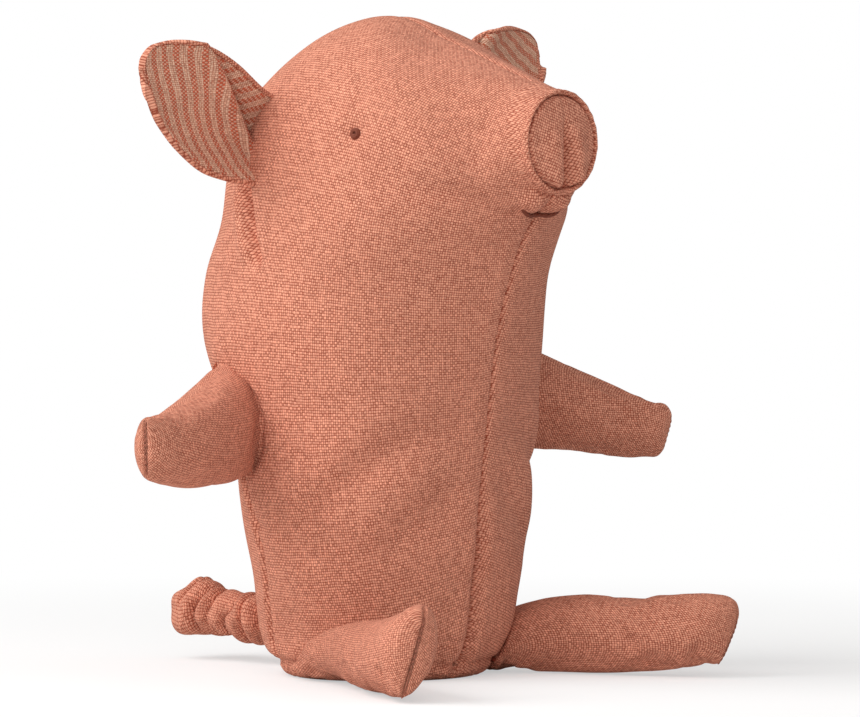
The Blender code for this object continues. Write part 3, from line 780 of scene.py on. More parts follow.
class Graph:
    """Adds nodes to a node tree and links them."""

    def __init__(self, tree: bpy.types.NodeTree) -> None:
        """Starts with an empty tree.

        Args:
            tree: The tree of a material, a world, a shader group or a geometry group.
        """
        self.tree = tree
        tree.nodes.clear()

    def node(self, kind: str, **settings: object) -> bpy.types.Node:
        """A new node with these of its properties set."""
        made = self.tree.nodes.new(kind)
        made.location = (len(self.tree.nodes) * 60.0, 0.0)
        for name, value in settings.items():
            setattr(made, name, value)
        return made

    def put(self, socket: Socket, value: object) -> None:
        """Links a socket to another, or sets its own value."""
        if isinstance(value, bpy.types.NodeSocket):
            self.tree.links.new(value, socket)
        else:
            socket.default_value = value

    def math(self, operation: str, *values: Input) -> Socket:
        """The result of a Math node on these values."""
        made = self.node("ShaderNodeMath", operation=operation)
        for socket, value in zip(made.inputs, values):
            self.put(socket, value)
        return made.outputs[0]

    def mix(self, factor: Input, first: object, second: object, blend: str = "MIX") -> Socket:
        """A colour between two, or blended from two."""
        made = self.node("ShaderNodeMix", data_type="RGBA", blend_type=blend)
        for index, value in ((0, factor), (6, first), (7, second)):
            self.put(made.inputs[index], value)
        return made.outputs[2]

    def between(self, factor: Input, first: Input, second: Input) -> Socket:
        """A number between two."""
        made = self.node("ShaderNodeMix", data_type="FLOAT")
        for index, value in ((0, factor), (2, first), (3, second)):
            self.put(made.inputs[index], value)
        return made.outputs[0]

    def vector(self, *values: Input) -> Socket:
        """The vector of these coordinates."""
        made = self.node("ShaderNodeCombineXYZ")
        for socket, value in zip(made.inputs, values):
            self.put(socket, value)
        return made.outputs[0]

    def bump(self, height: Socket, strength: float, distance: float) -> Socket:
        """A normal that follows a height."""
        made = self.node("ShaderNodeBump")
        made.inputs["Strength"].default_value = strength
        made.inputs["Distance"].default_value = distance
        self.put(made.inputs["Height"], height)
        return made.outputs[0]

    def noise(self, vector: Socket, scale: float, detail: float = 1.0) -> Socket:
        """The factor of a Noise Texture."""
        made = self.node("ShaderNodeTexNoise")
        made.inputs["Scale"].default_value = scale
        made.inputs["Detail"].default_value = detail
        self.put(made.inputs["Vector"], vector)
        return made.outputs["Fac"]

    def ramp(self, value: Input, low: float, high: float) -> Socket:
        """A value taken smoothly from 0 at low to 1 at high."""
        made = self.node("ShaderNodeMapRange", interpolation_type="SMOOTHSTEP")
        for index, number in enumerate((value, low, high)):
            self.put(made.inputs[index], number)
        return made.outputs[0]


def weave_group() -> bpy.types.NodeTree:
    """The plain weave: what each crossing of two threads adds to colour and height.

    Returns:
        A shader group that takes the cloth's coordinates and a pitch, both in metres, and
        gives the height of the threads, which of the two is on top, a tone for each thread
        and the soft fuzz between them.
    """
    tree = bpy.data.node_groups.new("plain_weave", "ShaderNodeTree")
    tree.interface.new_socket("Cloth", in_out="INPUT", socket_type="NodeSocketVector")
    for name in ("Pitch across", "Pitch along", "Wobble"):
        tree.interface.new_socket(name, in_out="INPUT", socket_type="NodeSocketFloat")
    for name in ("Height", "Over", "Tone", "Chance", "Fuzz"):
        tree.interface.new_socket(name, in_out="OUTPUT", socket_type="NodeSocketFloat")
    graph = Graph(tree)
    given = graph.node("NodeGroupInput").outputs
    cloth = given["Cloth"]
    parts = graph.node("ShaderNodeSeparateXYZ")
    graph.put(parts.inputs[0], cloth)
    counted = []
    for index, pitch in enumerate(("Pitch across", "Pitch along")):
        drift = graph.math("SUBTRACT", graph.noise(cloth, 95.0 + 40 * index, 2.0), 0.5)
        waver = graph.math("MULTIPLY", drift, given["Wobble"])
        counted.append(
            graph.math("DIVIDE", graph.math("ADD", parts.outputs[index], waver), given[pitch])
        )
    cells = [graph.math("FLOOR", value) for value in counted]
    offsets = [graph.math("SUBTRACT", graph.math("FRACT", value), 0.5) for value in counted]
    crowns = [graph.math("COSINE", graph.math("MULTIPLY", value, math.pi)) for value in offsets]
    over = graph.math("FLOORED_MODULO", graph.math("ADD", *cells), 2.0)
    heights = []
    # These heights also darken the cloth's colour where they are low: painted shade in the
    # hollows and on the lower thread set.
    for first, second, proud in ((0, 1, 0.60), (1, 0, 1.0)):
        round_thread = graph.math("POWER", graph.math("MAXIMUM", crowns[first], 1e-4), 0.75)
        arch = graph.math("MULTIPLY_ADD", crowns[second], 0.70, 0.30)
        whole = graph.math("MULTIPLY", round_thread, arch)
        heights.append(graph.math("MULTIPLY", whole, proud))
    tones = []
    for index, cell in enumerate(cells):
        along = graph.math("MULTIPLY", counted[1 - index], 0.11)
        place = graph.vector(graph.math("MULTIPLY", cell, 7.31), along, 3.7 + 9.1 * index)
        tones.append(graph.noise(place, 1.0, 2.0))
    chance = graph.node("ShaderNodeTexWhiteNoise", noise_dimensions="2D")
    graph.put(chance.inputs["Vector"], graph.vector(*cells))
    results = {
        "Height": graph.between(over, *heights),
        "Over": over,
        "Tone": graph.between(over, *tones),
        "Chance": chance.outputs["Value"],
        "Fuzz": graph.noise(cloth, 1500.0, 3.0),
    }
    given_back = graph.node("NodeGroupOutput").inputs
    for name, value in results.items():
        graph.put(given_back[name], value)
    return tree


def matt(
    name: str, roughness: float, specular: float
) -> tuple[bpy.types.Material, Graph, bpy.types.Node]:
    """A new material of one matt shader.

    Args:
        name: Its name.
        roughness: The shader's roughness.
        specular: How strongly the shader reflects.

    Returns:
        The material, its graph and its shader.
    """
    made = bpy.data.materials.new(name)
    made.use_nodes = True
    graph = Graph(made.node_tree)
    shader = graph.node("ShaderNodeBsdfPrincipled")
    shader.inputs["Roughness"].default_value = roughness
    shader.inputs["Specular IOR Level"].default_value = specular
    out = graph.node("ShaderNodeOutputMaterial")
    graph.put(out.inputs["Surface"], shader.outputs[0])
    return made, graph, shader


@dataclass(frozen=True)
class ClothFinish:
    """A matt plain-woven cloth.

    Attributes:
        name: The material's name.
        crown: Its colour on top of the threads.
        pit: Its colour in the pits between them: painted shade in those hollows.
        pitch: How far apart its threads lie, across and along.
        waver: How far the threads stray from straight lines, at most.
        relief: How far the threads stand out.
        sheen: The weight of its faint halo of fibres.
        stripe: The period of its stripes, or 0 for a plain cloth.
    """

    name: str
    crown: tuple[float, float, float] = (0.805, 0.362, 0.242)
    # Painted shade: the darker colour laid into the hollows between the threads.
    pit: tuple[float, float, float] = (0.320, 0.062, 0.030)
    pitch: tuple[float, float] = (0.714 * MM, 0.805 * MM)
    waver: float = 0.9 * MM
    relief: float = 0.20 * MM
    sheen: float = 0.08
    stripe: float = 0.0

    def material(self) -> bpy.types.Material:
        """Builds the material."""
        made, graph, shader = matt(self.name, 0.92, 0.18)
        cloth = graph.node("ShaderNodeUVMap", uv_map="cloth").outputs[0]
        group = bpy.data.node_groups.get("plain_weave") or weave_group()
        weave = graph.node("ShaderNodeGroup", node_tree=group)
        for socket, value in zip(weave.inputs, (cloth, *self.pitch, self.waver)):
            graph.put(socket, value)
        height, over, tone, chance, fuzz = weave.outputs
        # The colour falls from the top colour to the pits' colour where the threads and their
        # fuzz lie low: painted shade in the weave's hollows and on the thread set that lies
        # lower.
        rough = graph.math("MULTIPLY_ADD", fuzz, 0.30, height)
        shade = graph.ramp(graph.math("MULTIPLY_ADD", chance, 0.20, rough), 0.26, 0.96)
        top: object = (*self.crown, 1.0)
        if self.stripe:
            top = self._stripes(graph, cloth, over)
        colour = graph.mix(shade, (*self.pit, 1.0), top)
        value = graph.math("MULTIPLY_ADD", graph.ramp(tone, 0.2, 0.8), 0.20, 0.86)
        value = graph.math("MULTIPLY", value, graph.math("MULTIPLY_ADD", chance, 0.16, 0.92))
        patches = graph.noise(graph.node("ShaderNodeTexCoord").outputs["Object"], 38.0, 3.0)
        value = graph.math("MULTIPLY", value, graph.math("MULTIPLY_ADD", patches, 0.16, 0.94))
        grey = graph.node("ShaderNodeCombineColor")
        for socket in grey.inputs:
            graph.put(socket, value)
        graph.put(
            shader.inputs["Base Color"], graph.mix(1.0, colour, grey.outputs[0], "MULTIPLY")
        )
        shader.inputs["Sheen Weight"].default_value = self.sheen
        shader.inputs["Sheen Roughness"].default_value = 0.6
        shader.inputs["Sheen Tint"].default_value = (0.95, 0.60, 0.48, 1.0)
        raised = graph.math("MULTIPLY_ADD", chance, 0.25, rough)
        raised = graph.math("MULTIPLY_ADD", tone, 0.5, raised)
        graph.put(shader.inputs["Normal"], graph.bump(raised, 0.95, self.relief))
        return made

    def _stripes(self, graph: Graph, cloth: Socket, over: Socket) -> Socket:
        """The lining's stripes: a red check beside a beige band with one fine line."""
        parts = graph.node("ShaderNodeSeparateXYZ")
        graph.put(parts.inputs[0], cloth)
        turn = graph.math("SUBTRACT", graph.noise(cloth, 130.0, 1.0), 0.5)
        across = graph.math("MULTIPLY_ADD", turn, 1.6 * MM, parts.outputs[0])
        share = graph.math("FRACT", graph.math("DIVIDE", across, self.stripe))
        inside = graph.math("ABSOLUTE", graph.math("SUBTRACT", share, 0.25))
        band = graph.ramp(inside, 0.27, 0.20)
        beige, red, line = (0.80, 0.54, 0.39), (0.56, 0.085, 0.035), (0.62, 0.30, 0.19)
        check = graph.mix(graph.math("MULTIPLY", over, 0.62), (*red, 1.0), (*beige, 1.0))
        middle = graph.math("ABSOLUTE", graph.math("SUBTRACT", share, 0.75))
        fine = graph.math("MULTIPLY", graph.ramp(middle, 0.055, 0.025), 0.6)
        pale = graph.mix(fine, (*beige, 1.0), (*line, 1.0))
        return graph.mix(band, pale, check)


@dataclass(frozen=True)
class FlossFinish:
    """Embroidery floss or sewing thread.

    Attributes:
        name: The material's name.
        colour: Its colour.
        twist: How many fibres lie side by side in a metre.
    """

    name: str
    colour: tuple[float, float, float] = (0.230, 0.055, 0.028)
    twist: float = 1500.0

    def material(self) -> bpy.types.Material:
        """Builds the material."""
        made, graph, shader = matt(self.name, 0.7, 0.3)
        place = graph.node("ShaderNodeTexCoord").outputs["Object"]
        fibres = graph.noise(place, 2.5 * self.twist, 2.0)
        # Painted shade: the floss is darker where the fibre noise, which also raises its bump,
        # lies low.
        fibre_shade = tuple(value * 0.55 for value in self.colour)
        graph.put(
            shader.inputs["Base Color"], graph.mix(fibres, (*fibre_shade, 1.0), (*self.colour, 1.0))
        )
        graph.put(shader.inputs["Normal"], graph.bump(fibres, 0.5, 0.06 * MM))
        return made


@dataclass
class Wardrobe:
    """The materials that the pieces share."""

    cloth: bpy.types.Material = field(init=False)
    lining: bpy.types.Material = field(init=False)
    floss: bpy.types.Material = field(init=False)
    thread: bpy.types.Material = field(init=False)

    def __post_init__(self) -> None:
        """Makes each material once."""
        self.cloth = ClothFinish("terracotta_linen").material()
        self.lining = ClothFinish(
            "striped_lining",
            # Painted shade in the hollows between the lining's threads.
            pit=(0.40, 0.13, 0.075),
            pitch=(0.533 * MM, 0.56 * MM),
            relief=0.10 * MM,
            stripe=3.2 * MM,
        ).material()
        self.floss = FlossFinish("brown_floss").material()
        self.thread = FlossFinish("pink_thread", colour=(0.45, 0.15, 0.095)).material()


def dress(
    item: bpy.types.Object, material: bpy.types.Material, nodes: Sequence[str] = ()
) -> None:
    """Gives a piece its material and hides the CAD nodes that it stands for."""
    item.data.materials.clear()
    item.data.materials.append(material)
    if nodes:
        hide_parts(*nodes)
    LOG.info("%s: %d faces, for %s", item.name, len(item.data.polygons), ", ".join(nodes))


# ---------------------------------------------------------------------------------------
# Body and head
# ---------------------------------------------------------------------------------------


def crowded(count: int, crowd: float) -> Array:
    """Shares from 0 to 1 that lie closer together near both ends."""
    s = np.linspace(0, 1, count)
    return s - crowd * np.sin(TURN * s) / TURN


class Body:
    """The two side panels, the base and the snout's disc, round their stuffing."""

    ROWS = 345
    COLUMNS = 280
    CROWD = 0.62
    THICK = 0.9 * MM
    ALLOWANCE = 3.5 * MM
    HALF_GAP = 0.06 * MM

    def __init__(self, surface: BodySurface, wardrobe: Wardrobe) -> None:
        """Keeps what the pieces are made over.

        Args:
            surface: The stuffed surface.
            wardrobe: The materials.
        """
        self.surface = surface
        self.form = surface.form
        self.wardrobe = wardrobe

    def build(self) -> None:
        """Makes the body's pieces of cloth."""
        flat, places = self._unwrapped()
        for side in Side:
            nodes = [side.word + "_side_panel"]
            if side is Side.RIGHT:
                nodes.append("body_filling")
            self._side(side, flat, places, nodes)
        self._base()
        self._disc()
        self._darts()

    def _darts(self) -> None:
        """The hand stitches along the dart on each flank."""
        paths = []
        share = np.linspace(0.0, 1.0, 24)
        forward = np.interp(share, (0.0, 0.4, 1.0), (-11.3, -10.6, -12.6)) * MM
        height = np.interp(share, (0.0, 1.0), (47.0, 7.0)) * MM
        for side in Side:
            seats = [self.form.seat(f, h, side) for f, h in zip(forward, height)]
            place, angle = (np.array(values) for values in zip(*seats))
            paths.append(self.surface.at(place, angle))
        item = Stitching(pitch=2.2 * MM, size=(0.32 * MM, 0.32 * MM, 1.0 * MM)).lay(
            "dart_stitches", paths, self.wardrobe.thread
        )
        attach(item, "body")

    def _unwrapped(self) -> tuple[Lattice, Array]:
        """Lays one side panel flat, with its grain upright on the flank.

        Returns:
            The cloth's coordinates on a coarse grid of one side, and the grid's places.
        """
        rows, columns = 44, 26
        places = self.form.even_places(rows, HEM, self.form.top)
        angles = np.linspace(0, math.pi, columns)
        place, angle = np.meshgrid(places, angles, indexing="ij")
        points = self.form.point(place, angle)
        mesh = bpy.data.meshes.new("flat")
        index = grid_faces(rows, columns - 1, columns)
        mesh.from_pydata(points.reshape(-1, 3).tolist(), [], index.tolist())
        mesh.uv_layers.new(name="flat")
        item = linked("flat", mesh)
        bpy.context.view_layer.objects.active = item
        item.select_set(True)
        bpy.ops.object.mode_set(mode="EDIT")
        bpy.ops.mesh.select_all(action="SELECT")
        bpy.ops.uv.unwrap(method="MINIMUM_STRETCH", margin=0.0)
        bpy.ops.object.mode_set(mode="OBJECT")
        found = np.zeros(len(mesh.loops) * 2, np.float32)
        mesh.uv_layers["flat"].data.foreach_get("uv", found)
        flat = np.zeros((rows * columns, 2))
        flat[index.ravel()] = found.reshape(-1, 2)
        flat = flat.reshape(rows, columns, 2)
        bpy.data.objects.remove(item)
        bpy.data.meshes.remove(mesh)
        real = np.linalg.norm(np.diff(points, axis=0), axis=-1)
        laid = np.linalg.norm(np.diff(flat, axis=0), axis=-1)
        flat = flat * np.median(real / np.maximum(laid, 1e-9))
        middle = columns // 2
        up = flat[rows // 3, middle] - flat[rows // 8, middle]
        turn = math.pi / 2 - math.atan2(up[1], up[0])
        cosine, sine = math.cos(turn), math.sin(turn)
        u, v = flat[..., 0], flat[..., 1]
        turned = np.stack([u * cosine - v * sine, u * sine + v * cosine], axis=-1)
        return Lattice(turned), places

    def _side(self, side: Side, flat: Lattice, places: Array, nodes: Sequence[str]) -> None:
        """One half of the stuffed body, closed along the middle."""
        down = self.form.even_places(self.ROWS, HEM, self.form.top)
        over = crowded(self.COLUMNS, self.CROWD) * math.pi
        place, angle = np.meshgrid(down, over, indexing="ij")
        points = self.surface.at(place, -side.value * angle)
        points[:, [0, -1], 0] = side.value * self.HALF_GAP
        points[..., 0] = side.value * np.maximum(side.value * points[..., 0], self.HALF_GAP)
        row = np.interp(place, places, np.arange(len(places)))
        cloth = flat.at(row, angle / math.pi * (flat.values.shape[1] - 1))
        cloth = cloth * (-side.value, 1.0)
        points, cloth = self._turned_in(place, points, cloth)
        cloth = np.concatenate([cloth[:1], cloth, cloth[-1:]])
        item = ring_object(side.word + "_side", poled(points), cloth)
        dress(item, self.wardrobe.cloth, nodes)
        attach(item, "body")

    def _turned_in(self, place: Array, points: Array, cloth: Array) -> tuple[Array, Array]:
        """Adds the allowances that turn in behind the seams and meet along the middle."""
        held = np.minimum(place[:, [-1, 0]], self.form.rim)
        angle = np.broadcast_to(np.array([math.pi, 0.0]), held.shape)
        inner = self.form.point(held, angle) - self.form.normal(held, angle) * self.ALLOWANCE
        inner[..., 1] = np.maximum(inner[..., 1], 5 * MM - self.form.sizes.snout_reach)
        inner[..., 2] = np.maximum(inner[..., 2], 3 * MM)
        inner[..., 0] = points[:, [-1, 0], 0]
        points = np.concatenate([points, inner], axis=1)
        cloth = np.concatenate([cloth, cloth[:, [-1, 0]], cloth[:, [0]]], axis=1)
        return points, cloth

    def _base(self) -> None:
        """The base: a flat oval whose edge curls up to the base seam."""
        edge_rows = np.linspace(0.0, 1.5, 20)
        place, angle = np.meshgrid(edge_rows, round_angles(240), indexing="ij")
        curl = self.form.point(place, angle)
        tucked = 0.9 * MM * smoothstep(0.4, 1.2, place) + 0.15 * MM * np.sin(angle * 37)
        curl = curl - self.form.normal(place, angle) * (tucked * (place > 0.3))[..., None]
        middle = curl[0].mean(axis=0)
        inner = [middle + (curl[0] - middle) * share for share in np.linspace(0.05, 0.97, 16)]
        outer = np.concatenate([np.stack(inner), curl])
        outer[..., 2] = np.maximum(outer[..., 2], 0.0)
        inside = outer[::-1].copy()
        inside[..., 2] += self.THICK
        shrink = 1 - 0.02 * np.linspace(1, 0, len(inside))[:, None]
        inside[..., :2] = middle[:2] + (inside[..., :2] - middle[:2]) * shrink[..., None]
        points = np.concatenate([outer, inside])
        cloth = points[..., :2]
        cloth = np.concatenate([cloth, cloth[:, :1]], axis=1)
        item = ring_object("base_cloth", poled(points), poled(cloth))
        dress(item, self.wardrobe.cloth, ["base_panel"])
        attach(item, "body")

    def _disc(self) -> None:
        """The snout's disc: two full lobes beside one upright pinched groove."""
        sizes = self.form.sizes
        radius = sizes.disc_radius + 0.45 * MM
        shares = np.concatenate([np.linspace(0.02, 0.84, 60), np.linspace(0.855, 1.0, 24)])
        share, angle = np.meshgrid(shares, round_angles(200), indexing="ij")
        across = radius * share * np.sin(angle)
        up = radius * share * np.cos(angle)
        edge = smoothstep(1.0, 0.88, share)
        dome = -sizes.disc_inset + (sizes.disc_inset + 0.15 * MM) * edge
        dome = dome + 1.3 * MM * (1 - share**2)
        line = across - 0.8 * MM + 1.0 * MM * (up / radius)
        low = smoothstep(9.5 * MM, -3 * MM, up)
        reach = smoothstep(1.0, 0.90, share)
        groove = (0.3 + 2.5 * low) * bell(line, (1.3 + 0.9 * low) * MM)
        groove = groove + 0.8 * low * bell(line, 0.6 * MM)
        lobes = low * (bell(line - 4.6 * MM, 3.4 * MM) + 1.1 * bell(line + 5.0 * MM, 4.0 * MM))
        dome = dome + (1.75 * lobes * edge - groove * reach) * MM
        forward = sizes.snout_reach + dome
        points = np.stack([across, -forward, sizes.snout_height + up], axis=-1)
        rise = (lumps(points, 0.006, 5.5) * 0.22 * MM * edge)[..., None]
        points = points + rise * (0.0, -1.0, 0.0)
        inside = points[::-1].copy()
        inside[..., 1] += self.THICK
        points = np.concatenate([points, inside])
        cloth = points[..., (0, 2)] @ np.array([[0.94, 0.34], [-0.34, 0.94]])
        cloth = np.concatenate([cloth, cloth[:, :1]], axis=1)
        item = ring_object("snout_cloth", poled(points), poled(cloth))
        dress(item, self.wardrobe.cloth, ["snout_disc"])
        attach(item, "body")


# ---------------------------------------------------------------------------------------
# Limbs
# ---------------------------------------------------------------------------------------


def heading(side: Side, degrees: float) -> Array:
    """The level direction this far from straight ahead towards a side."""
    return direction(side.value * degrees)


@dataclass(frozen=True)
class Section:
    """One oval section of a limb: its middle, two axes and their half sizes."""

    middle: Array
    up: Array
    out: Array
    half_up: float
    half_out: float


class Limb:
    """A stuffed limb of one closed cover, lofted through its sections."""

    ROWS = 150
    COLUMNS = 132
    COARSE_ROWS = 24
    COARSE_COLUMNS = 26
    INSET = 0.7 * MM
    THINNEST = 0.15 * MM
    TIP_GROOVE = 1.1 * MM
    TIP_GROOVE_WIDTH = 0.6 * MM
    FLOOR_GAP = 0.25 * MM
    slant = 0.0
    tuck = 0.0

    def __init__(self, name: str, wardrobe: Wardrobe) -> None:
        """Keeps the limb's name and materials.

        Args:
            name: Its name, which is also its body's.
            wardrobe: The materials.
        """
        self.name = name
        self.wardrobe = wardrobe

    def section(self, length: float) -> Section:
        """The section at a share of the limb's length; each kind of limb has its own."""
        raise NotImplementedError

    def relief(self, length: Array, angle: Array, points: Array) -> Array:
        """Outward displacement in millimetres; each kind of limb adds its own."""
        raise NotImplementedError

    def grid(
        self, lengths: Array, angles: Array, inset: float = 0.0, tuck: float = 0.0
    ) -> Array:
        """Points of the limb's smooth form, angle 0 on top.

        Args:
            lengths: Shares of the limb's length.
            angles: Round each of its sections.
            inset: How far inside the form the points lie.
            tuck: How steeply the root falls back on one side, which its sign names.

        Returns:
            Lengths by angles by 3.
        """
        rows = []
        along = unit(self.section(1.0).middle - self.section(0.7).middle)
        cosine, sine = np.cos(angles)[:, None], np.sin(angles)[:, None]
        for length in lengths:
            s = self.section(float(length))
            up = max(s.half_up - inset, self.THINNEST)
            out = max(s.half_out - inset, self.THINNEST)
            slant = self.slant * float(smoothstep(0.55, 1.0, length))
            sunk = self.TIP_GROOVE * float(smoothstep(0.965, 0.99, length))
            tucked = abs(tuck) * (1 - float(smoothstep(0.0, 0.14, length)))
            back = slant * cosine - sunk * bell(out * sine, self.TIP_GROOVE_WIDTH)
            back = back - tucked * np.maximum(math.copysign(out, tuck) * sine, 0.0)
            rows.append(s.middle + s.up * up * cosine + s.out * out * sine + along * back)
        return np.stack(rows)

    def build(self, nodes: Sequence[str], start: Array, end: Array, fill: float) -> None:
        """Makes the cover.

        Args:
            nodes: The CAD nodes that it stands for.
            start: Not used.
            end: Not used.
            fill: Not used.
        """
        coarse_lengths = np.linspace(0, 1, self.COARSE_ROWS)
        coarse = self.grid(coarse_lengths, round_angles(self.COARSE_COLUMNS), self.INSET)
        pinned = np.zeros(coarse.shape[:2])
        pinned[[0, 1, -1]] = 1.0
        swell = Swelling(cap=1.4 * MM, slack=0.04).moved(coarse, pinned)
        lengths = 1 - (1 - np.linspace(0, 1, self.ROWS)) ** 1.35
        angles = round_angles(self.COLUMNS)
        length, angle = np.meshgrid(lengths, angles, indexing="ij")
        points = self.grid(lengths, angles, tuck=self.tuck)
        cloth = self._cloth(points)
        normal = grid_normals(points, wrap=True)
        middle = points[len(points) // 2]
        if np.sum(normal[len(points) // 2] * (middle - middle.mean(axis=0))) < 0:
            normal = -normal
        lift = self.relief(length, angle, points)
        tight = smoothstep(0.0, 0.12, length) * smoothstep(1.0, 0.9, length)
        field_at = Lattice(swell, wrap=True).at(
            np.clip(length, 0, 1) * (self.COARSE_ROWS - 1),
            angle / TURN * self.COARSE_COLUMNS,
        )
        points = points + field_at * tight[..., None]
        lift = lift - tight * self.INSET / MM * 0.8
        points = points + normal * (lift * MM)[..., None]
        points[..., 2] = np.maximum(points[..., 2], self.FLOOR_GAP)
        points = poled(points)
        item = ring_object(self.name, points, poled(gone_round(cloth)))
        dress(item, self.wardrobe.cloth, nodes)
        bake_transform(item)
        self._close_tip(points)

    def _close_tip(self, points: Array) -> None:
        """Sews the tip's seam shut with a row of small stitches."""
        ring = points[-3]
        half = self.COLUMNS // 2
        way = unit(points[-2].mean(axis=0) - points[-12].mean(axis=0))
        steps = np.arange(half + 1)
        line = (ring[steps] + ring[-steps % self.COLUMNS]) / 2
        line = line[5:-5] + way * 0.12 * MM
        item = Stitching().lay(self.name + "_stitches", [line], self.wardrobe.thread)
        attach(item, self.name)

    @staticmethod
    def _cloth(points: Array) -> Array:
        """The cloth's coordinates: arc length round from the top line and along."""
        steps = np.linalg.norm(np.diff(points, axis=1), axis=-1)
        around = np.concatenate([np.zeros((len(points), 1)), np.cumsum(steps, axis=1)], axis=1)
        whole = around[:, -1:] * (points.shape[1] / (points.shape[1] - 1))
        around = around - whole / 2
        lengths = np.linalg.norm(np.diff(points, axis=0), axis=-1)
        along = np.concatenate([np.zeros((1, points.shape[1])), np.cumsum(lengths, axis=0)])
        return np.stack([around, along], axis=-1)


@dataclass(frozen=True)
class ArmSizes:
    """Driving sizes of an arm, as the CAD source has them."""

    length: float = 0.0715
    root: float = 0.0375
    thickness: float = 0.0230
    height: float = 0.0796
    back: float = 0.0190
    lean: float = 0.0095
    drop: float = 0.0075
    inset: float = 0.0022


# Shares of an arm's length, of its root's height, of its thickness
ARM_SHARES = {
    Side.RIGHT: (
        (0.00, 0.96, 0.14),
        (0.03, 0.96, 0.64),
        (0.10, 0.95, 0.92),
        (0.24, 0.90, 1.05),
        (0.42, 0.80, 1.04),
        (0.62, 0.69, 0.92),
        (0.80, 0.60, 0.72),
        (0.90, 0.55, 0.58),
        (0.96, 0.50, 0.40),
        (0.99, 0.44, 0.22),
        (1.00, 0.39, 0.04),
    ),
    Side.LEFT: (
        (0.00, 1.00, 0.10),
        (0.03, 1.00, 0.60),
        (0.10, 0.99, 0.90),
        (0.24, 0.96, 1.02),
        (0.42, 0.87, 1.00),
        (0.62, 0.72, 0.88),
        (0.80, 0.59, 0.68),
        (0.90, 0.52, 0.56),
        (0.96, 0.46, 0.42),
        (0.985, 0.37, 0.26),
        (1.00, 0.24, 0.05),
    ),
}
ARM_AZIMUTH = {Side.RIGHT: 64.0, Side.LEFT: 52.0}
ARM_SAG = {Side.RIGHT: 2.9 * MM, Side.LEFT: 0.0}
ARM_SHRUG = {Side.RIGHT: 0.0, Side.LEFT: 84.0 * MM}
ARM_SLANT = {Side.RIGHT: 0.5 * MM, Side.LEFT: 1.4 * MM}
# How steeply the body falls away behind the arm, whose root follows it there
ARM_TUCK = {Side.RIGHT: 0.85, Side.LEFT: 1.2}


class Arm(Limb):
    """An arm, sewn into an upright slit of the side panel."""

    def __init__(self, side: Side, form: BodyForm, wardrobe: Wardrobe) -> None:
        """Finds the arm's seam.

        Args:
            side: The arm's side.
            form: The body's form.
            wardrobe: The materials.
        """
        super().__init__(side.word + "_arm", wardrobe)
        self.side = side
        self.sizes = sizes = ArmSizes()
        ends = []
        for way in (-1, 1):
            forward = -sizes.back - way * sizes.lean / 2
            place, angle = form.seat(forward, sizes.height + way * sizes.root / 2, side)
            ends.append(form.seam_point(place, angle))
        self.seam = (ends[0] + ends[1]) / 2
        self.axis = unit(ends[1] - ends[0])
        self.along = heading(side, ARM_AZIMUTH[side]) * sizes.length
        self.along[2] = -sizes.drop
        self.rows = np.array(ARM_SHARES[side])
        self.slant = ARM_SLANT[side]
        self.tuck = -side.value * ARM_TUCK[side]

    def section(self, length: float) -> Section:
        """The arm's oval at a share of its length."""
        place = place_where(self.rows[:, 0], length)
        _, height, thick = catmull_rom(self.rows, np.array(place))
        up = unit(self.axis + (UPRIGHT - self.axis) * length)
        out = unit(np.cross(self.along, up))
        start = 1 - self.sizes.inset / self.sizes.length * (1 - length) / max(length, 1e-3)
        middle = self.seam + self.along * length * (start if length > 0.05 else 1.0)
        middle = middle - self.along * (self.sizes.inset / self.sizes.length) * (1 - length)
        middle = middle - UPRIGHT * ARM_SAG[self.side] * 4 * length * (1 - length)
        shrug = ARM_SHRUG[self.side] * length**1.5 * (1 - length) ** 2.5
        middle = middle + UPRIGHT * shrug
        return Section(
            middle, up, out, height * self.sizes.root / 2, thick * self.sizes.thickness / 2
        )

    def relief(self, length: Array, angle: Array, points: Array) -> Array:
        """Puckers at the root and the tip seam, and soft lumps between."""
        across = np.cos(angle)
        root = 0.22 * np.sin(across * 19 + 1.1) * smoothstep(0.16, 0.03, length)
        tip = 0.06 * np.sin(across * 21 + 2.0 * np.sin(angle)) * smoothstep(0.93, 1.0, length)
        return root + tip + lumps(points, 0.018, 2.2) * 0.45 + lumps(points, 0.007, 4) * 0.12

    def make(self) -> None:
        """Builds the arm's cover."""
        way = unit(self.along)
        cover = [self.name + "_cover", self.name + "_filling"]
        self.build(cover, self.seam - way * MM, self.seam + way * 15 * MM, 0.8)


@dataclass(frozen=True)
class LegSizes:
    """Driving sizes of a leg, as the CAD source has them."""

    length: float = 0.0825
    root: float = 0.0320
    depth: float = 0.0240
    thickness: float = 0.0230
    inset: float = 0.0045
    slant: float = 0.0045
    floor_gap: float = 0.0004
    root_azimuth: float = -22.0
    bend_share: float = 0.15


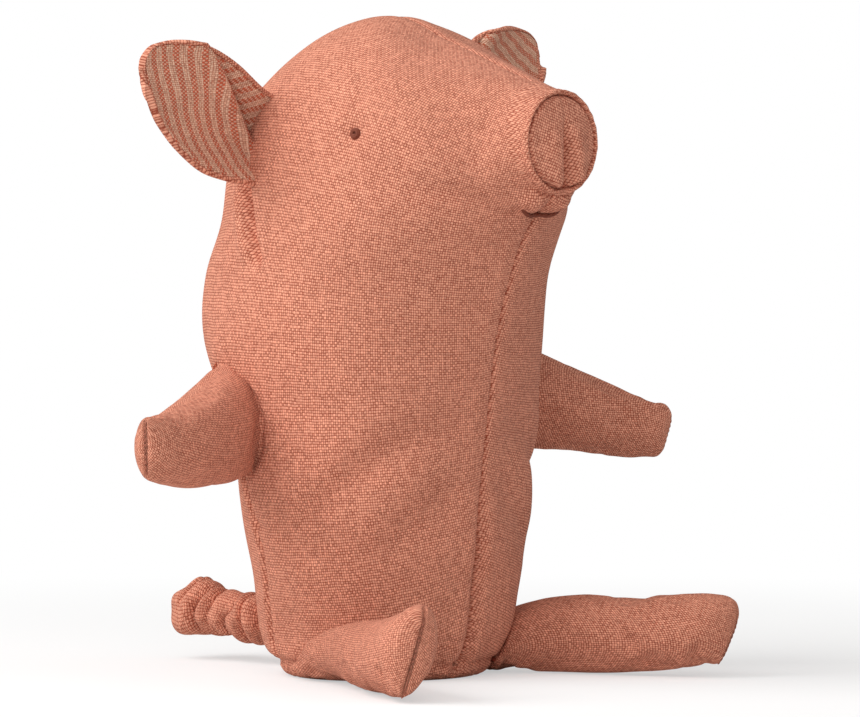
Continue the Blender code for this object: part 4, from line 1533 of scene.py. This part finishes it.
# Shares of a leg's length, of its depth, of its half root or thickness, and how far the
# section has turned from the root seam's direction to square across the leg
LEG_SHARES = {
    Side.RIGHT: (
        (0.00, 0.10, 1.00, 0.00),
        (0.04, 0.36, 0.98, 0.10),
        (0.12, 0.64, 0.92, 0.30),
        (0.26, 0.78, 0.84, 0.60),
        (0.45, 0.90, 0.82, 0.90),
        (0.65, 1.02, 0.86, 1.00),
        (0.82, 1.12, 0.80, 1.00),
        (0.92, 1.18, 0.70, 1.00),
        (0.97, 1.17, 0.55, 1.00),
        (0.99, 1.13, 0.36, 1.00),
        (1.00, 0.99, 0.05, 1.00),
    ),
    Side.LEFT: (
        (0.00, 0.10, 1.00, 0.00),
        (0.04, 0.38, 0.98, 0.10),
        (0.12, 0.72, 0.94, 0.30),
        (0.26, 0.90, 0.86, 0.60),
        (0.45, 0.99, 0.84, 0.90),
        (0.65, 1.01, 0.84, 1.00),
        (0.82, 1.00, 0.76, 1.00),
        (0.92, 0.95, 0.60, 1.00),
        (0.97, 0.86, 0.42, 1.00),
        (0.99, 0.76, 0.26, 1.00),
        (1.00, 0.60, 0.05, 1.00),
    ),
}
LEG_AZIMUTH = {Side.RIGHT: 29.0, Side.LEFT: 23.5}
LEG_ROLL = {Side.RIGHT: 13.0, Side.LEFT: 5.0}
LEG_RISE = {Side.RIGHT: 1.2 * MM, Side.LEFT: 3.8 * MM}
LEG_SLANT = {Side.RIGHT: 0.0, Side.LEFT: 1.8 * MM}


class Leg(Limb):
    """A leg, flat where the base seam holds it and upright at its tip seam."""

    def __init__(self, side: Side, form: BodyForm, wardrobe: Wardrobe) -> None:
        """Finds the leg's seam.

        Args:
            side: The leg's side.
            form: The body's form.
            wardrobe: The materials.
        """
        super().__init__(side.word + "_leg", wardrobe)
        self.side = side
        self.sizes = sizes = LegSizes()
        front, _, back, _, half_width = form.rows[int(BASE_SEAM), :5]
        facing = math.radians(sizes.root_azimuth + 90)
        angle = math.atan(math.tan(facing) * half_width / ((front - back) / 2))
        place = np.array(BASE_SEAM)
        turned = np.array(-side.value * angle)
        self.seat = form.seam_point(place, turned)
        self.chord = heading(side, sizes.root_azimuth)
        self.ahead = heading(side, LEG_AZIMUTH[side])
        self.across = heading(side, LEG_AZIMUTH[side] - 90)
        self.root = self.seat - heading(side, sizes.root_azimuth + 90) * sizes.inset
        self.rows = np.array(LEG_SHARES[side])
        self.slant = LEG_SLANT[side]

    def section(self, length: float) -> Section:
        """The leg's oval at a share of its length."""
        sizes = self.sizes
        place = place_where(self.rows[:, 0], length)
        _, deep, wide, turned = catmull_rom(self.rows, np.array(place))
        angle = math.radians(self.side.value * LEG_ROLL[self.side]) * length
        roll = np.array(Matrix.Rotation(angle, 3, Vector(self.ahead)))
        up = unit(roll @ UPRIGHT + self.ahead * (sizes.slant / sizes.depth * length))
        out = unit(roll @ (self.chord + (self.across - self.chord) * turned))
        half_up = deep * sizes.depth / 2
        half_out = wide * (sizes.root + (sizes.thickness - sizes.root) * turned) / 2
        middle = self.root + self.ahead * (sizes.length * length)
        lowest = sizes.floor_gap + math.hypot(half_up * up[2], half_out * out[2])
        level = lowest + LEG_RISE[self.side] * length**4
        settled = max(1 - length / sizes.bend_share, 0.0) ** 2
        middle[2] = max(level + (self.seat[2] - level) * settled, lowest)
        return Section(middle, up, out, half_up, half_out)

    def relief(self, length: Array, angle: Array, points: Array) -> Array:
        """Puckers at the root and the tip seam, and soft lumps between."""
        across = np.cos(angle)
        root = 0.3 * np.sin(np.sin(angle) * 21 + 0.7) * smoothstep(0.2, 0.04, length)
        tip = 0.06 * np.sin(across * 25 + 1.6 * np.sin(angle)) * smoothstep(0.94, 1.0, length)
        fade = smoothstep(0.1 * MM, 2.0 * MM, points[..., 2])
        soft = lumps(points, 0.020, 8.4) * 0.5 + lumps(points, 0.008, 1.7) * 0.14
        return (root + tip + soft) * (0.3 + 0.7 * fade)

    def make(self) -> None:
        """Builds the leg's cover."""
        cover = [self.name + "_cover", self.name + "_filling"]
        self.build(cover, self.seat, self.seat + self.ahead * 16 * MM, 0.85)


# ---------------------------------------------------------------------------------------
# Ears
# ---------------------------------------------------------------------------------------


@dataclass(frozen=True)
class EarSizes:
    """Driving sizes of an ear, as the CAD source has them."""

    width: float = 0.0432
    height: float = 0.1476
    back: float = 0.0170
    lean: float = 0.0040
    cup: float = 0.0060
    inset: float = 0.0060
    edge: float = 0.0014
    cloth: float = 0.0006


# Share of an ear's length, then its lower and upper edge as shares of its width
EAR_SHARES = (
    (0.00, 0.000, 0.600),
    (0.20, 0.020, 0.670),
    (0.42, 0.055, 0.860),
    (0.60, 0.115, 0.980),
    (0.78, 0.255, 1.005),
    (0.89, 0.400, 0.980),
    (0.94, 0.495, 0.945),
    (0.98, 0.610, 0.875),
    (1.00, 0.700, 0.780),
)
EAR_REACH = {Side.RIGHT: 84.2 * MM, Side.LEFT: 85.5 * MM}
EAR_RISE = {Side.RIGHT: 0.0, Side.LEFT: 0.0085}


class Ear:
    """An ear: a folded leaf of cloth with a striped lining on its front."""

    ROWS = 120
    COLUMNS = 110
    HALF_GAP = 0.12 * MM
    ROLL = 1.0 * MM
    LENGTH = 45 * MM

    def __init__(self, side: Side, form: BodyForm, wardrobe: Wardrobe) -> None:
        """Finds the ear's root.

        Args:
            side: The ear's side.
            form: The body's form.
            wardrobe: The materials.
        """
        self.side = side
        self.wardrobe = wardrobe
        self.sizes = sizes = EarSizes()
        root = EAR_SHARES[0][2] * sizes.width
        ends = []
        for back, height in ((0.0, 0.0), (sizes.lean, root)):
            place, angle = form.seat(-sizes.back - back, sizes.height + height, side)
            ends.append(form.seam_point(place, angle))
        self.low, self.high = ends
        self.root_share = root / sizes.width
        self.rows = np.array(EAR_SHARES)

    def point(self, length: Array, across: Array) -> Array:
        """Points of the leaf's middle layer."""
        sizes = self.sizes
        fine = np.linspace(0, len(self.rows) - 1, 400)
        table = catmull_rom(self.rows, fine)
        lower = np.interp(length, table[:, 0], table[:, 1])
        upper = np.interp(length, table[:, 0], table[:, 2])
        width = lower + (upper - lower) * across
        share = (width / self.root_share)[..., None]
        points = self.low + (self.high - self.low) * share
        from_middle = np.abs(points[..., 0])
        reach = from_middle + (EAR_REACH[self.side] - from_middle) * length
        reach = reach - sizes.inset * (1 - length)
        cupped = (2 * across - 1) ** 2 * (1 - length)
        y = self.low[1] - sizes.cup * cupped
        z = points[..., 2] + EAR_RISE[self.side] * (1 - (1 - length) ** 2)
        y = y + self._fold(length, across)
        return np.stack([self.side.value * reach, y, z], axis=-1)

    def _fold(self, length: Array, across: Array) -> Array:
        """How far back the cloth lies: the fold beside the head and the leaf's waves."""
        line = self.fold_line(length, across)
        behind = 5.0 * MM * smoothstep(-0.004, 0.030, line)
        behind = behind - 2.2 * MM * smoothstep(0.04, 0.16, line)
        behind = behind * (1 - 0.7 * smoothstep(0.72, 1.0, across))
        lip = -1.5 * MM * bell(line + 0.045, 0.055)
        wave = 1.1 * MM * np.sin(length * 5.6 + across * 3.1) * length
        dent = 1.0 * MM * bell(across - 0.35, 0.16) * smoothstep(1.0, 0.5, length)
        edge = -1.3 * MM * bell(across, 0.09) - 0.9 * MM * smoothstep(0.86, 1.0, length)
        return behind + lip + wave + dent + edge

    @staticmethod
    def fold_line(length: Array, across: Array) -> Array:
        """Positive on the flap that is folded back, beside the head and above."""
        return (across - 0.34) * 0.66 - (length - 0.04) * 0.72

    def make(self) -> None:
        """Builds the ear's two layers."""
        body = self.side.word + "_ear"
        layers = (
            ("_back", "_outer", 0.0, 1.0, self.wardrobe.cloth, "cloth"),
            ("_lining", "_inner", self.sizes.edge, -1.0, self.wardrobe.lining, "lining"),
        )
        for node, label, margin, away, material, slot in layers:
            item = self._leaf(body + label, margin, away)
            dress(item, material, [body + node])
            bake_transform(item)

    def _leaf(self, name: str, margin: float, away: float) -> bpy.types.Object:
        """One layer of the leaf, a thin closed piece; away is +1 behind and -1 in front."""
        sizes = self.sizes
        length = np.linspace(0, 1, self.ROWS) ** 0.9 * (1 - margin / self.LENGTH)
        edge = margin / sizes.width
        across = edge + (1 - 2 * edge) * crowded(self.COLUMNS, 0.3)
        length, across = np.meshgrid(length, across, indexing="ij")
        middle = self.point(length, across)
        normal = grid_normals(middle, wrap=False)
        normal = normal * np.sign(normal[..., 1:2].mean())
        round_edge = np.minimum(np.minimum(across, 1 - across) - edge, 1 - length)
        full = np.sqrt(np.clip(round_edge / 0.03, 0.0, 1.0))
        puff = (0.5 * bell(across - 0.07, 0.06) + 0.4 * bell(length - 0.95, 0.05)) * 0.35 * MM
        roll = np.zeros_like(length)
        if away > 0:
            border = np.minimum(across * sizes.width, (1 - length) * self.LENGTH)
            border = np.minimum(border, (1 - across) * sizes.width)
            roll = self.ROLL * np.sqrt(np.clip(border / (0.6 * MM), 0.0, 1.0))
            roll = roll * smoothstep(1.55 * MM, 1.25 * MM, border)
        inner = middle + normal * (away * self.HALF_GAP - roll)[..., None]
        thick = sizes.cloth * (0.25 + 0.75 * full) + puff
        if away > 0:
            thick = thick + 0.5 * roll
        outer = middle + normal * (away * (self.HALF_GAP + thick))[..., None]
        cloth = self._stripes(length, across, middle)
        grid = np.concatenate([outer, inner[::-1], outer[:1]])
        laid = np.concatenate([cloth, cloth[::-1], cloth[:1]])
        return self._capped(name, grid, laid)

    def _stripes(self, length: Array, across: Array, points: Array) -> Array:
        """The lining's coordinates: stripes that bend downwards, turned on the folded flap."""
        out, high = np.abs(points[..., 0]), points[..., 2]
        if self.side is Side.LEFT:
            return np.stack([0.72 * high + 0.50 * out, out - high], axis=-1)
        drop = np.maximum(points[..., 2].max() - high, 0.0)
        wave = 0.35 * MM * np.sin(high * 260 + out * 90)
        main = np.stack([0.70 * (out + 7.0 * drop**2) + wave, high], axis=-1)
        flap = np.stack([0.85 * high + 0.30 * out, out], axis=-1)
        turned = (self.fold_line(length, across) > 0.008)[..., None]
        return np.where(turned, flap, main)

    @staticmethod
    def _capped(name: str, grid: Array, laid: Array) -> bpy.types.Object:
        """A closed band of cloth with its two long open sides sewn shut."""
        rows, columns = grid.shape[:2]
        half = (rows - 1) // 2
        index = np.arange(rows * columns).reshape(rows, columns)
        sides = []
        for column in (0, columns - 1):
            for row in range(half - 1):
                across = 2 * half - 1 - row
                sides.append(index[[row, row + 1, across - 1, across], column])
        faces = np.concatenate([grid_faces(rows, columns - 1, columns), np.array(sides)])
        return cloth_object(name, grid, faces, laid.reshape(-1, 2)[faces.ravel()])


# ---------------------------------------------------------------------------------------
# Tail
# ---------------------------------------------------------------------------------------


@dataclass(frozen=True)
class TailSizes:
    """Driving sizes of the tail, as the CAD source has them."""

    length: float = 0.0575
    diameter: float = 0.0160
    height: float = 0.0112
    lift: float = 0.0050
    inset: float = 0.0020
    pleats: int = 9


# Share of the tail's length and of its radius
TAIL_SHARES = (
    (0.00, 0.46),
    (0.10, 0.50),
    (0.18, 0.62),
    (0.26, 0.86),
    (0.36, 0.94),
    (0.48, 0.88),
    (0.60, 0.86),
    (0.72, 0.96),
    (0.80, 1.10),
    (0.88, 1.14),
    (0.94, 0.98),
    (0.98, 0.70),
    (1.00, 0.30),
)


class Tail:
    """The tail: a tube of cloth gathered into loose pleats on elastic."""

    ROWS = 330
    COLUMNS = 170

    def __init__(self, form: BodyForm, wardrobe: Wardrobe) -> None:
        """Finds the tail's root.

        Args:
            form: The body's form.
            wardrobe: The materials.
        """
        self.wardrobe = wardrobe
        self.sizes = TailSizes()
        place = np.array(place_where(form.rows[:, 3], self.sizes.height))
        self.root = form.point(place, np.array(math.pi))
        self.rows = np.array(TAIL_SHARES)

    def make(self) -> None:
        """Builds the gathered tube."""
        sizes = self.sizes
        lengths = np.linspace(0, 1, self.ROWS)
        length, angle = np.meshgrid(lengths, round_angles(self.COLUMNS), indexing="ij")
        fine = catmull_rom(self.rows, np.linspace(0, len(self.rows) - 1, 400))
        radius = np.interp(length, fine[:, 0], fine[:, 1]) * sizes.diameter / 2
        gathered = smoothstep(0.16, 0.26, length) * smoothstep(0.86, 0.76, length)
        neck = smoothstep(0.02, 0.10, length) * smoothstep(0.26, 0.14, length)
        lean = 0.85 * np.sin(angle + 0.9) + 0.45 * np.sin(2 * angle - 1.1 + 7 * length)
        warp = length + 0.012 * np.sin(length * 31) + 0.014 * np.sin(length * 17 + 1)
        turn = warp * sizes.pleats * TURN + lean * 2.1
        depth = 1.35 + 0.75 * np.sin(turn * 0.37 + 1.2) * np.sin(angle + turn * 0.21)
        pleat = np.abs(np.cos(turn / 2)) ** 0.62 - 0.62
        crumple = lumps(np.stack([length * 9, np.cos(angle), np.sin(angle)], -1), 1.0, 4.4)
        lift = (2.2 * depth * pleat + 1.7 * crumple) * gathered
        lift = lift + (0.45 * np.sin(angle * 7) + 0.3 * np.sin(angle * 4 + 2)) * neck
        end = smoothstep(0.78, 0.84, length)
        tuck = -1.5 * bell(length - 0.86 - 0.02 * np.cos(angle + 0.6), 0.018) * np.clip(
            np.sin(angle - 0.3), 0.0, 1.0
        )
        bulge = 0.95 * np.sin(angle * 2 + 0.4) + 0.45 * np.sin(angle * 5 + 1) + 0.9 * crumple
        lift = lift + bulge * end + tuck
        y = sizes.length * length + 0.8 * MM * np.cos(turn / 2 + 1.0) * gathered
        z = sizes.lift * (1 - (1 - length) ** 2)
        sway = 1.2 * MM * np.sin(length * 7)
        radius = np.maximum(radius + lift * MM, 0.7 * MM)
        points = np.stack(
            [
                radius * np.cos(angle) + sway,
                self.root[1] - sizes.inset + y,
                self.root[2] + z + radius * np.sin(angle) * (1 - 0.06 * gathered),
            ],
            axis=-1,
        )
        points = points + lumps(points, 0.005, 9.1)[..., None] * 0.3 * MM
        points[..., 2] = np.maximum(points[..., 2], 0.3 * MM)
        girth, flat_length = 5.5 * MM, 105 * MM
        cloth = np.stack([(angle - math.pi) * girth, length * flat_length], axis=-1)
        item = ring_object("tail", poled(points), poled(gone_round(cloth)))
        dress(item, self.wardrobe.cloth, ["tail_cover", "tail_elastic"])
        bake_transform(item)


# ---------------------------------------------------------------------------------------
# Hand stitches
# ---------------------------------------------------------------------------------------


def stitch_tree() -> bpy.types.NodeTree:
    """Lays small rounded stitches along a path.

    Returns:
        A geometry group with the inputs Geometry, Pitch, Size, Slant, Seed and Material.
    """
    tree = bpy.data.node_groups.new("hand_stitches", "GeometryNodeTree")
    kinds = (
        ("Geometry", "NodeSocketGeometry"),
        ("Pitch", "NodeSocketFloat"),
        ("Size", "NodeSocketVector"),
        ("Slant", "NodeSocketFloat"),
        ("Seed", "NodeSocketInt"),
        ("Material", "NodeSocketMaterial"),
    )
    for name, kind in kinds:
        tree.interface.new_socket(name, in_out="INPUT", socket_type=kind)
    tree.interface.new_socket("Geometry", in_out="OUTPUT", socket_type="NodeSocketGeometry")
    graph = Graph(tree)
    given = graph.node("NodeGroupInput").outputs
    curve = graph.node("GeometryNodeMeshToCurve")
    graph.put(curve.inputs["Mesh"], given["Geometry"])
    spots = graph.node("GeometryNodeCurveToPoints", mode="LENGTH")
    graph.put(spots.inputs["Curve"], curve.outputs[0])
    graph.put(spots.inputs["Length"], given["Pitch"])
    bead = graph.node("GeometryNodeMeshUVSphere")
    for name, value in (("Segments", 8), ("Rings", 6), ("Radius", 0.5)):
        bead.inputs[name].default_value = value
    chance = graph.node("FunctionNodeRandomValue", data_type="FLOAT")
    for index, value in ((2, 0.85), (3, 1.15)):
        chance.inputs[index].default_value = value
    graph.put(chance.inputs["Seed"], given["Seed"])
    size = graph.node("ShaderNodeVectorMath", operation="SCALE")
    graph.put(size.inputs[0], given["Size"])
    graph.put(size.inputs["Scale"], chance.outputs[1])
    laid = graph.node("GeometryNodeInstanceOnPoints")
    graph.put(laid.inputs["Points"], spots.outputs["Points"])
    graph.put(laid.inputs["Instance"], bead.outputs["Mesh"])
    graph.put(laid.inputs["Rotation"], spots.outputs["Rotation"])
    graph.put(laid.inputs["Scale"], size.outputs[0])
    turned = graph.node("GeometryNodeRotateInstances")
    graph.put(turned.inputs["Instances"], laid.outputs[0])
    graph.put(turned.inputs["Rotation"], graph.vector(given["Slant"]))
    real = graph.node("GeometryNodeRealizeInstances")
    graph.put(real.inputs[0], turned.outputs[0])
    dyed = graph.node("GeometryNodeSetMaterial")
    graph.put(dyed.inputs["Geometry"], real.outputs[0])
    graph.put(dyed.inputs["Material"], given["Material"])
    graph.put(graph.node("NodeGroupOutput").inputs[0], dyed.outputs[0])
    return tree


@dataclass(frozen=True)
class Stitching:
    """A run of hand stitches.

    Attributes:
        pitch: From one stitch to the next.
        size: How wide, how high and how long a stitch is.
        slant: How far a stitch leans from the path, in radians.
        seed: Of the stitches' small differences.
    """

    pitch: float = 1.5 * MM
    size: tuple[float, float, float] = (0.44 * MM, 0.44 * MM, 1.05 * MM)
    slant: float = 0.0
    seed: int = 3

    def lay(
        self, name: str, paths: Sequence[Array], material: bpy.types.Material
    ) -> bpy.types.Object:
        """Lays the stitches along paths and leaves them as one plain mesh.

        Args:
            name: The piece's name.
            paths: The lines that the stitches follow, each count by 3.
            material: The thread.

        Returns:
            The piece, with its material and its slot.
        """
        points = np.concatenate(paths)
        edges, start = [], 0
        for path in paths:
            edges += [(start + i, start + i + 1) for i in range(len(path) - 1)]
            start += len(path)
        guide = bpy.data.meshes.new(name + "_path")
        guide.from_pydata(points.tolist(), edges, [])
        item = linked(name + "_path", guide)
        tree = bpy.data.node_groups.get("hand_stitches") or stitch_tree()
        modifier = item.modifiers.new("stitches", "NODES")
        modifier.node_group = tree
        values = {
            "Pitch": self.pitch,
            "Size": self.size,
            "Slant": self.slant,
            "Seed": self.seed,
            "Material": material,
        }
        for socket in tree.interface.items_tree:
            if socket.in_out == "INPUT" and socket.name in values:
                modifier[socket.identifier] = values[socket.name]
        bpy.context.view_layer.update()
        graph = bpy.context.evaluated_depsgraph_get()
        mesh = bpy.data.meshes.new_from_object(item.evaluated_get(graph))
        mesh.name = name
        bpy.data.objects.remove(item)
        bpy.data.meshes.remove(guide)
        made = closed_object(name, mesh)
        dress(made, material)
        return made


# ---------------------------------------------------------------------------------------
# Face
# ---------------------------------------------------------------------------------------


def tube(name: str, path: Array, radius: Array, sides: int = 12) -> bpy.types.Object:
    """A closed tube of floss along a path.

    Args:
        name: The piece's name.
        path: Its centreline, count by 3.
        radius: Its radius at each point.
        sides: How many points go round it.

    Returns:
        The object.
    """
    way = unit(np.gradient(path, axis=0))
    side = np.zeros_like(way)
    last = unit(np.cross(way[0], (0.3, 0.5, 0.81)))
    for index, ahead in enumerate(way):
        last = unit(last - ahead * np.dot(last, ahead))
        side[index] = last
    other = np.cross(way, side)
    angles = round_angles(sides)
    ring = side[:, None] * np.cos(angles)[:, None] + other[:, None] * np.sin(angles)[:, None]
    points = path[:, None] + ring * np.asarray(radius)[:, None, None]
    across = np.arange(sides + 1)[None] * 0.3 * MM
    cloth = np.stack(np.broadcast_arrays(across, run_along(path)[:, None]), axis=-1)
    return ring_object(name, poled(points), poled(cloth))


class Face:
    """The eyes and the mouth, stitched with dark floss."""

    EYE = 3.8 * MM
    EYE_FORWARD = 26.5 * MM
    EYE_HEIGHT = 162.4 * MM
    EYE_THREAD = 0.46 * MM
    EYE_COILS = 2.4
    MOUTH_WIDTH = 16.0 * MM
    MOUTH_SAG = 2.2 * MM
    MOUTH_HEIGHT = 138.6 * MM
    MOUTH_STRAND = 0.41 * MM
    MOUTH_ROPE = 0.33 * MM
    MOUTH_TWIST = 9.0

    def __init__(self, surface: BodySurface, wardrobe: Wardrobe) -> None:
        """Keeps what the stitches lie on.

        Args:
            surface: The stuffed surface.
            wardrobe: The materials.
        """
        self.surface = surface
        self.wardrobe = wardrobe

    def make(self) -> None:
        """Makes both eyes and the mouth."""
        for side in Side:
            self._eye(side)
        self._mouth()

    def _eye(self, side: Side) -> None:
        """An eye: a knot of floss wound twice round and pulled down."""
        form = self.surface.form
        place, angle = form.seat(self.EYE_FORWARD, self.EYE_HEIGHT, side)
        middle = self.surface.at(np.array(place), np.array(angle))
        normal = form.normal(np.array(place), np.array(angle))
        first = unit(np.cross(normal, (0.0, 0.0, 1.0)))
        second = np.cross(normal, first)
        turns = np.linspace(0, self.EYE_COILS * TURN, 110)
        share = turns / turns[-1]
        radius = (self.EYE / 2 - self.EYE_THREAD) * (1 - 0.62 * share**1.4)
        rise = 0.15 * MM + 0.75 * MM * np.sin(share * math.pi * 0.62)
        path = (
            middle
            + first * (radius * np.cos(turns))[:, None]
            + second * (radius * np.sin(turns))[:, None]
            + normal * rise[:, None]
        )
        coil = tube("coil", path, np.full(len(path), self.EYE_THREAD))
        core_path = middle + normal * np.linspace(-1.0 * MM, 0.72 * MM, 12)[:, None]
        core = tube("core", core_path, np.linspace(0.8, 0.35, 12) * MM)
        item = joined_object(side.word + "_eye_knot", [coil, core])
        dress(item, self.wardrobe.floss, [side.word + "_eye"])
        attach(item, "body")

    def _mouth(self) -> None:
        """The mouth: one smile of twisted floss across the centre front."""
        form = self.surface.form
        across = np.linspace(-1, 1, 90)
        height = self.MOUTH_HEIGHT + self.MOUTH_SAG * across**2
        places = np.array([place_where(form.rows[:, 1], value) for value in height])
        half = catmull_rom(form.rows, places)[:, 4]
        angles = -np.arcsin(across * self.MOUTH_WIDTH / 2 / half)
        line = self.surface.at(places, angles)
        normal = form.normal(places, angles)
        ends = smoothstep(1.0, 0.90, np.abs(across))
        line = line + normal * ((0.60 * ends - 0.50 * (1 - ends)) * MM)[:, None]
        reach = 12
        window = np.ones(2 * reach + 1) / (2 * reach + 1)
        smooth = line.copy()
        for axis in range(3):
            padded = np.pad(line[:, axis], reach, "reflect", reflect_type="odd")
            smooth[:, axis] = np.convolve(padded, window, "valid")
        way = unit(np.gradient(smooth, axis=0))
        beside = np.cross(way, normal)
        thickness = self.MOUTH_STRAND * (0.55 + 0.45 * ends)
        strands = []
        for index in range(3):
            phase = across * self.MOUTH_TWIST + index * TURN / 3
            offset = beside * np.cos(phase)[:, None] + normal * np.sin(phase)[:, None]
            path = smooth + offset * self.MOUTH_ROPE
            strands.append(tube(f"strand_{index}", path, thickness))
        item = joined_object("mouth_floss", strands)
        dress(item, self.wardrobe.floss, ["mouth_stitch"])
        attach(item, "body")


# ---------------------------------------------------------------------------------------
# Stage
# ---------------------------------------------------------------------------------------


def aimed(item: bpy.types.Object, target: Array, away: Array) -> None:
    """Puts a light or a camera this far away from a target that it then faces."""
    item.location = Vector(target + away)
    item.rotation_euler = Vector(away).to_track_quat("Z", "Y").to_euler()


@dataclass(frozen=True)
class Lamp:
    """A soft square light.

    Attributes:
        name: The light's name.
        azimuth: Where it stands round the object, 0 in front of the camera, to its right.
        elevation: How high, in degrees.
        distance: How far away.
        size: The length of its sides.
        power: In watts.
        colour: Its colour.
    """

    name: str
    azimuth: float
    elevation: float
    distance: float
    size: float
    power: float
    colour: tuple[float, float, float] = (1.0, 1.0, 1.0)

    def make(self, camera_azimuth: float, target: Array) -> None:
        """Places the light round the target."""
        data = bpy.data.lights.new(self.name, "AREA")
        data.shape = "SQUARE"
        data.size = self.size
        data.energy = self.power
        data.color = self.colour
        way = direction(camera_azimuth + self.azimuth, self.elevation)
        aimed(linked(self.name, data), target, way * self.distance)


@dataclass(frozen=True)
class Studio:
    """Camera, lamps, floor and world, as in the photograph.

    Attributes:
        azimuth: Of the camera, in degrees from straight ahead towards the left.
        elevation: Of the camera above the horizon, in degrees.
        distance: From the camera to the middle of the view.
        lens: Its focal length in millimetres, on a sensor 36 mm wide.
        target_height: How high the middle of the view lies.
        target_across: How far it lies to the right.
        ambient: The strength of the light from all round.
    """

    azimuth: float = -45.0
    elevation: float = 1.3
    distance: float = 1.6
    lens: float = 36.0 * 5264.0 / 860.0
    target_height: float = 0.0960
    target_across: float = 0.0137
    ambient: float = 0.20
    lamps: tuple[Lamp, ...] = (
        Lamp("key", -70.0, 40.0, 1.6, 1.4, 27.0),
        Lamp("front", -4.0, 26.0, 1.6, 1.6, 11.0),
        Lamp("side", 80.0, 30.0, 1.6, 1.2, 3.5),
        Lamp("top", -20.0, 80.0, 1.5, 1.2, 3.0),
    )

    def make(self) -> None:
        """Sets up everything round the object."""
        scene = bpy.context.scene
        right = direction(self.azimuth + 90)
        target = right * self.target_across + UPRIGHT * self.target_height
        data = bpy.data.cameras.new("camera")
        data.sensor_width = 36.0
        data.lens = self.lens
        data.clip_end = 20.0
        scene.camera = linked("camera", data)
        aimed(scene.camera, target, direction(self.azimuth, self.elevation) * self.distance)
        for lamp in self.lamps:
            lamp.make(self.azimuth, target)
        self._world(scene)
        self._floor()
        scene.view_settings.view_transform = "Standard"

    def _world(self, scene: bpy.types.Scene) -> None:
        """A white backdrop for the camera and an even light for everything else."""
        world = bpy.data.worlds.new("studio")
        world.use_nodes = True
        scene.world = world
        graph = Graph(world.node_tree)
        mix = graph.node("ShaderNodeMixShader")
        path = graph.node("ShaderNodeLightPath")
        graph.put(mix.inputs[0], path.outputs["Is Camera Ray"])
        lit, seen = (self.ambient, (1.0, 0.985, 0.965, 1.0)), (1.0, (1.0, 1.0, 1.0, 1.0))
        for socket, (strength, colour) in zip(mix.inputs[1:], (lit, seen)):
            light = graph.node("ShaderNodeBackground")
            light.inputs["Strength"].default_value = strength
            light.inputs["Color"].default_value = colour
            graph.put(socket, light.outputs[0])
        out = graph.node("ShaderNodeOutputWorld")
        graph.put(out.inputs["Surface"], mix.outputs[0])

    def _floor(self) -> None:
        """A plain pale floor that fades into the white backdrop."""
        mesh = bpy.data.meshes.new("floor")
        half = 6.0
        corners = [(-half, -half, 0), (half, -half, 0), (half, half, 0), (-half, half, 0)]
        mesh.from_pydata(corners, [], [(0, 1, 2, 3)])
        material, graph, shader = matt("floor", 0.9, 0.1)
        path = graph.node("ShaderNodeLightPath").outputs["Is Camera Ray"]
        pale = graph.mix(path, (0.78, 0.765, 0.755, 1.0), (0.97, 0.965, 0.96, 1.0))
        graph.put(shader.inputs["Base Color"], pale)
        backdrop = graph.node("ShaderNodeEmission")
        far = graph.node("ShaderNodeVectorMath", operation="LENGTH")
        graph.put(far.inputs[0], graph.node("ShaderNodeTexCoord").outputs["Object"])
        faded = graph.ramp(far.outputs["Value"], 0.18, 0.50)
        share = graph.math("MULTIPLY", graph.math("MULTIPLY_ADD", faded, 0.5, 0.5), path)
        mix = graph.node("ShaderNodeMixShader")
        for socket, value in zip(mix.inputs, (share, shader.outputs[0], backdrop.outputs[0])):
            graph.put(socket, value)
        graph.put(material.node_tree.nodes["Material Output"].inputs["Surface"], mix.outputs[0])
        mesh.materials.append(material)
        linked("floor", mesh)


def main() -> None:
    """Builds the pig and its studio."""
    logging.basicConfig(level=logging.INFO, format="%(message)s")
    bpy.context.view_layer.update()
    wardrobe = Wardrobe()
    form = BodyForm(BodySizes())
    surface = BodySurface(form)
    Body(surface, wardrobe).build()
    for side in Side:
        Arm(side, form, wardrobe).make()
        Leg(side, form, wardrobe).make()
        Ear(side, form, wardrobe).make()
    Tail(form, wardrobe).make()
    Face(surface, wardrobe).make()
    Studio().make()
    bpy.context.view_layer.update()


if __name__ == "__main__":
    main()
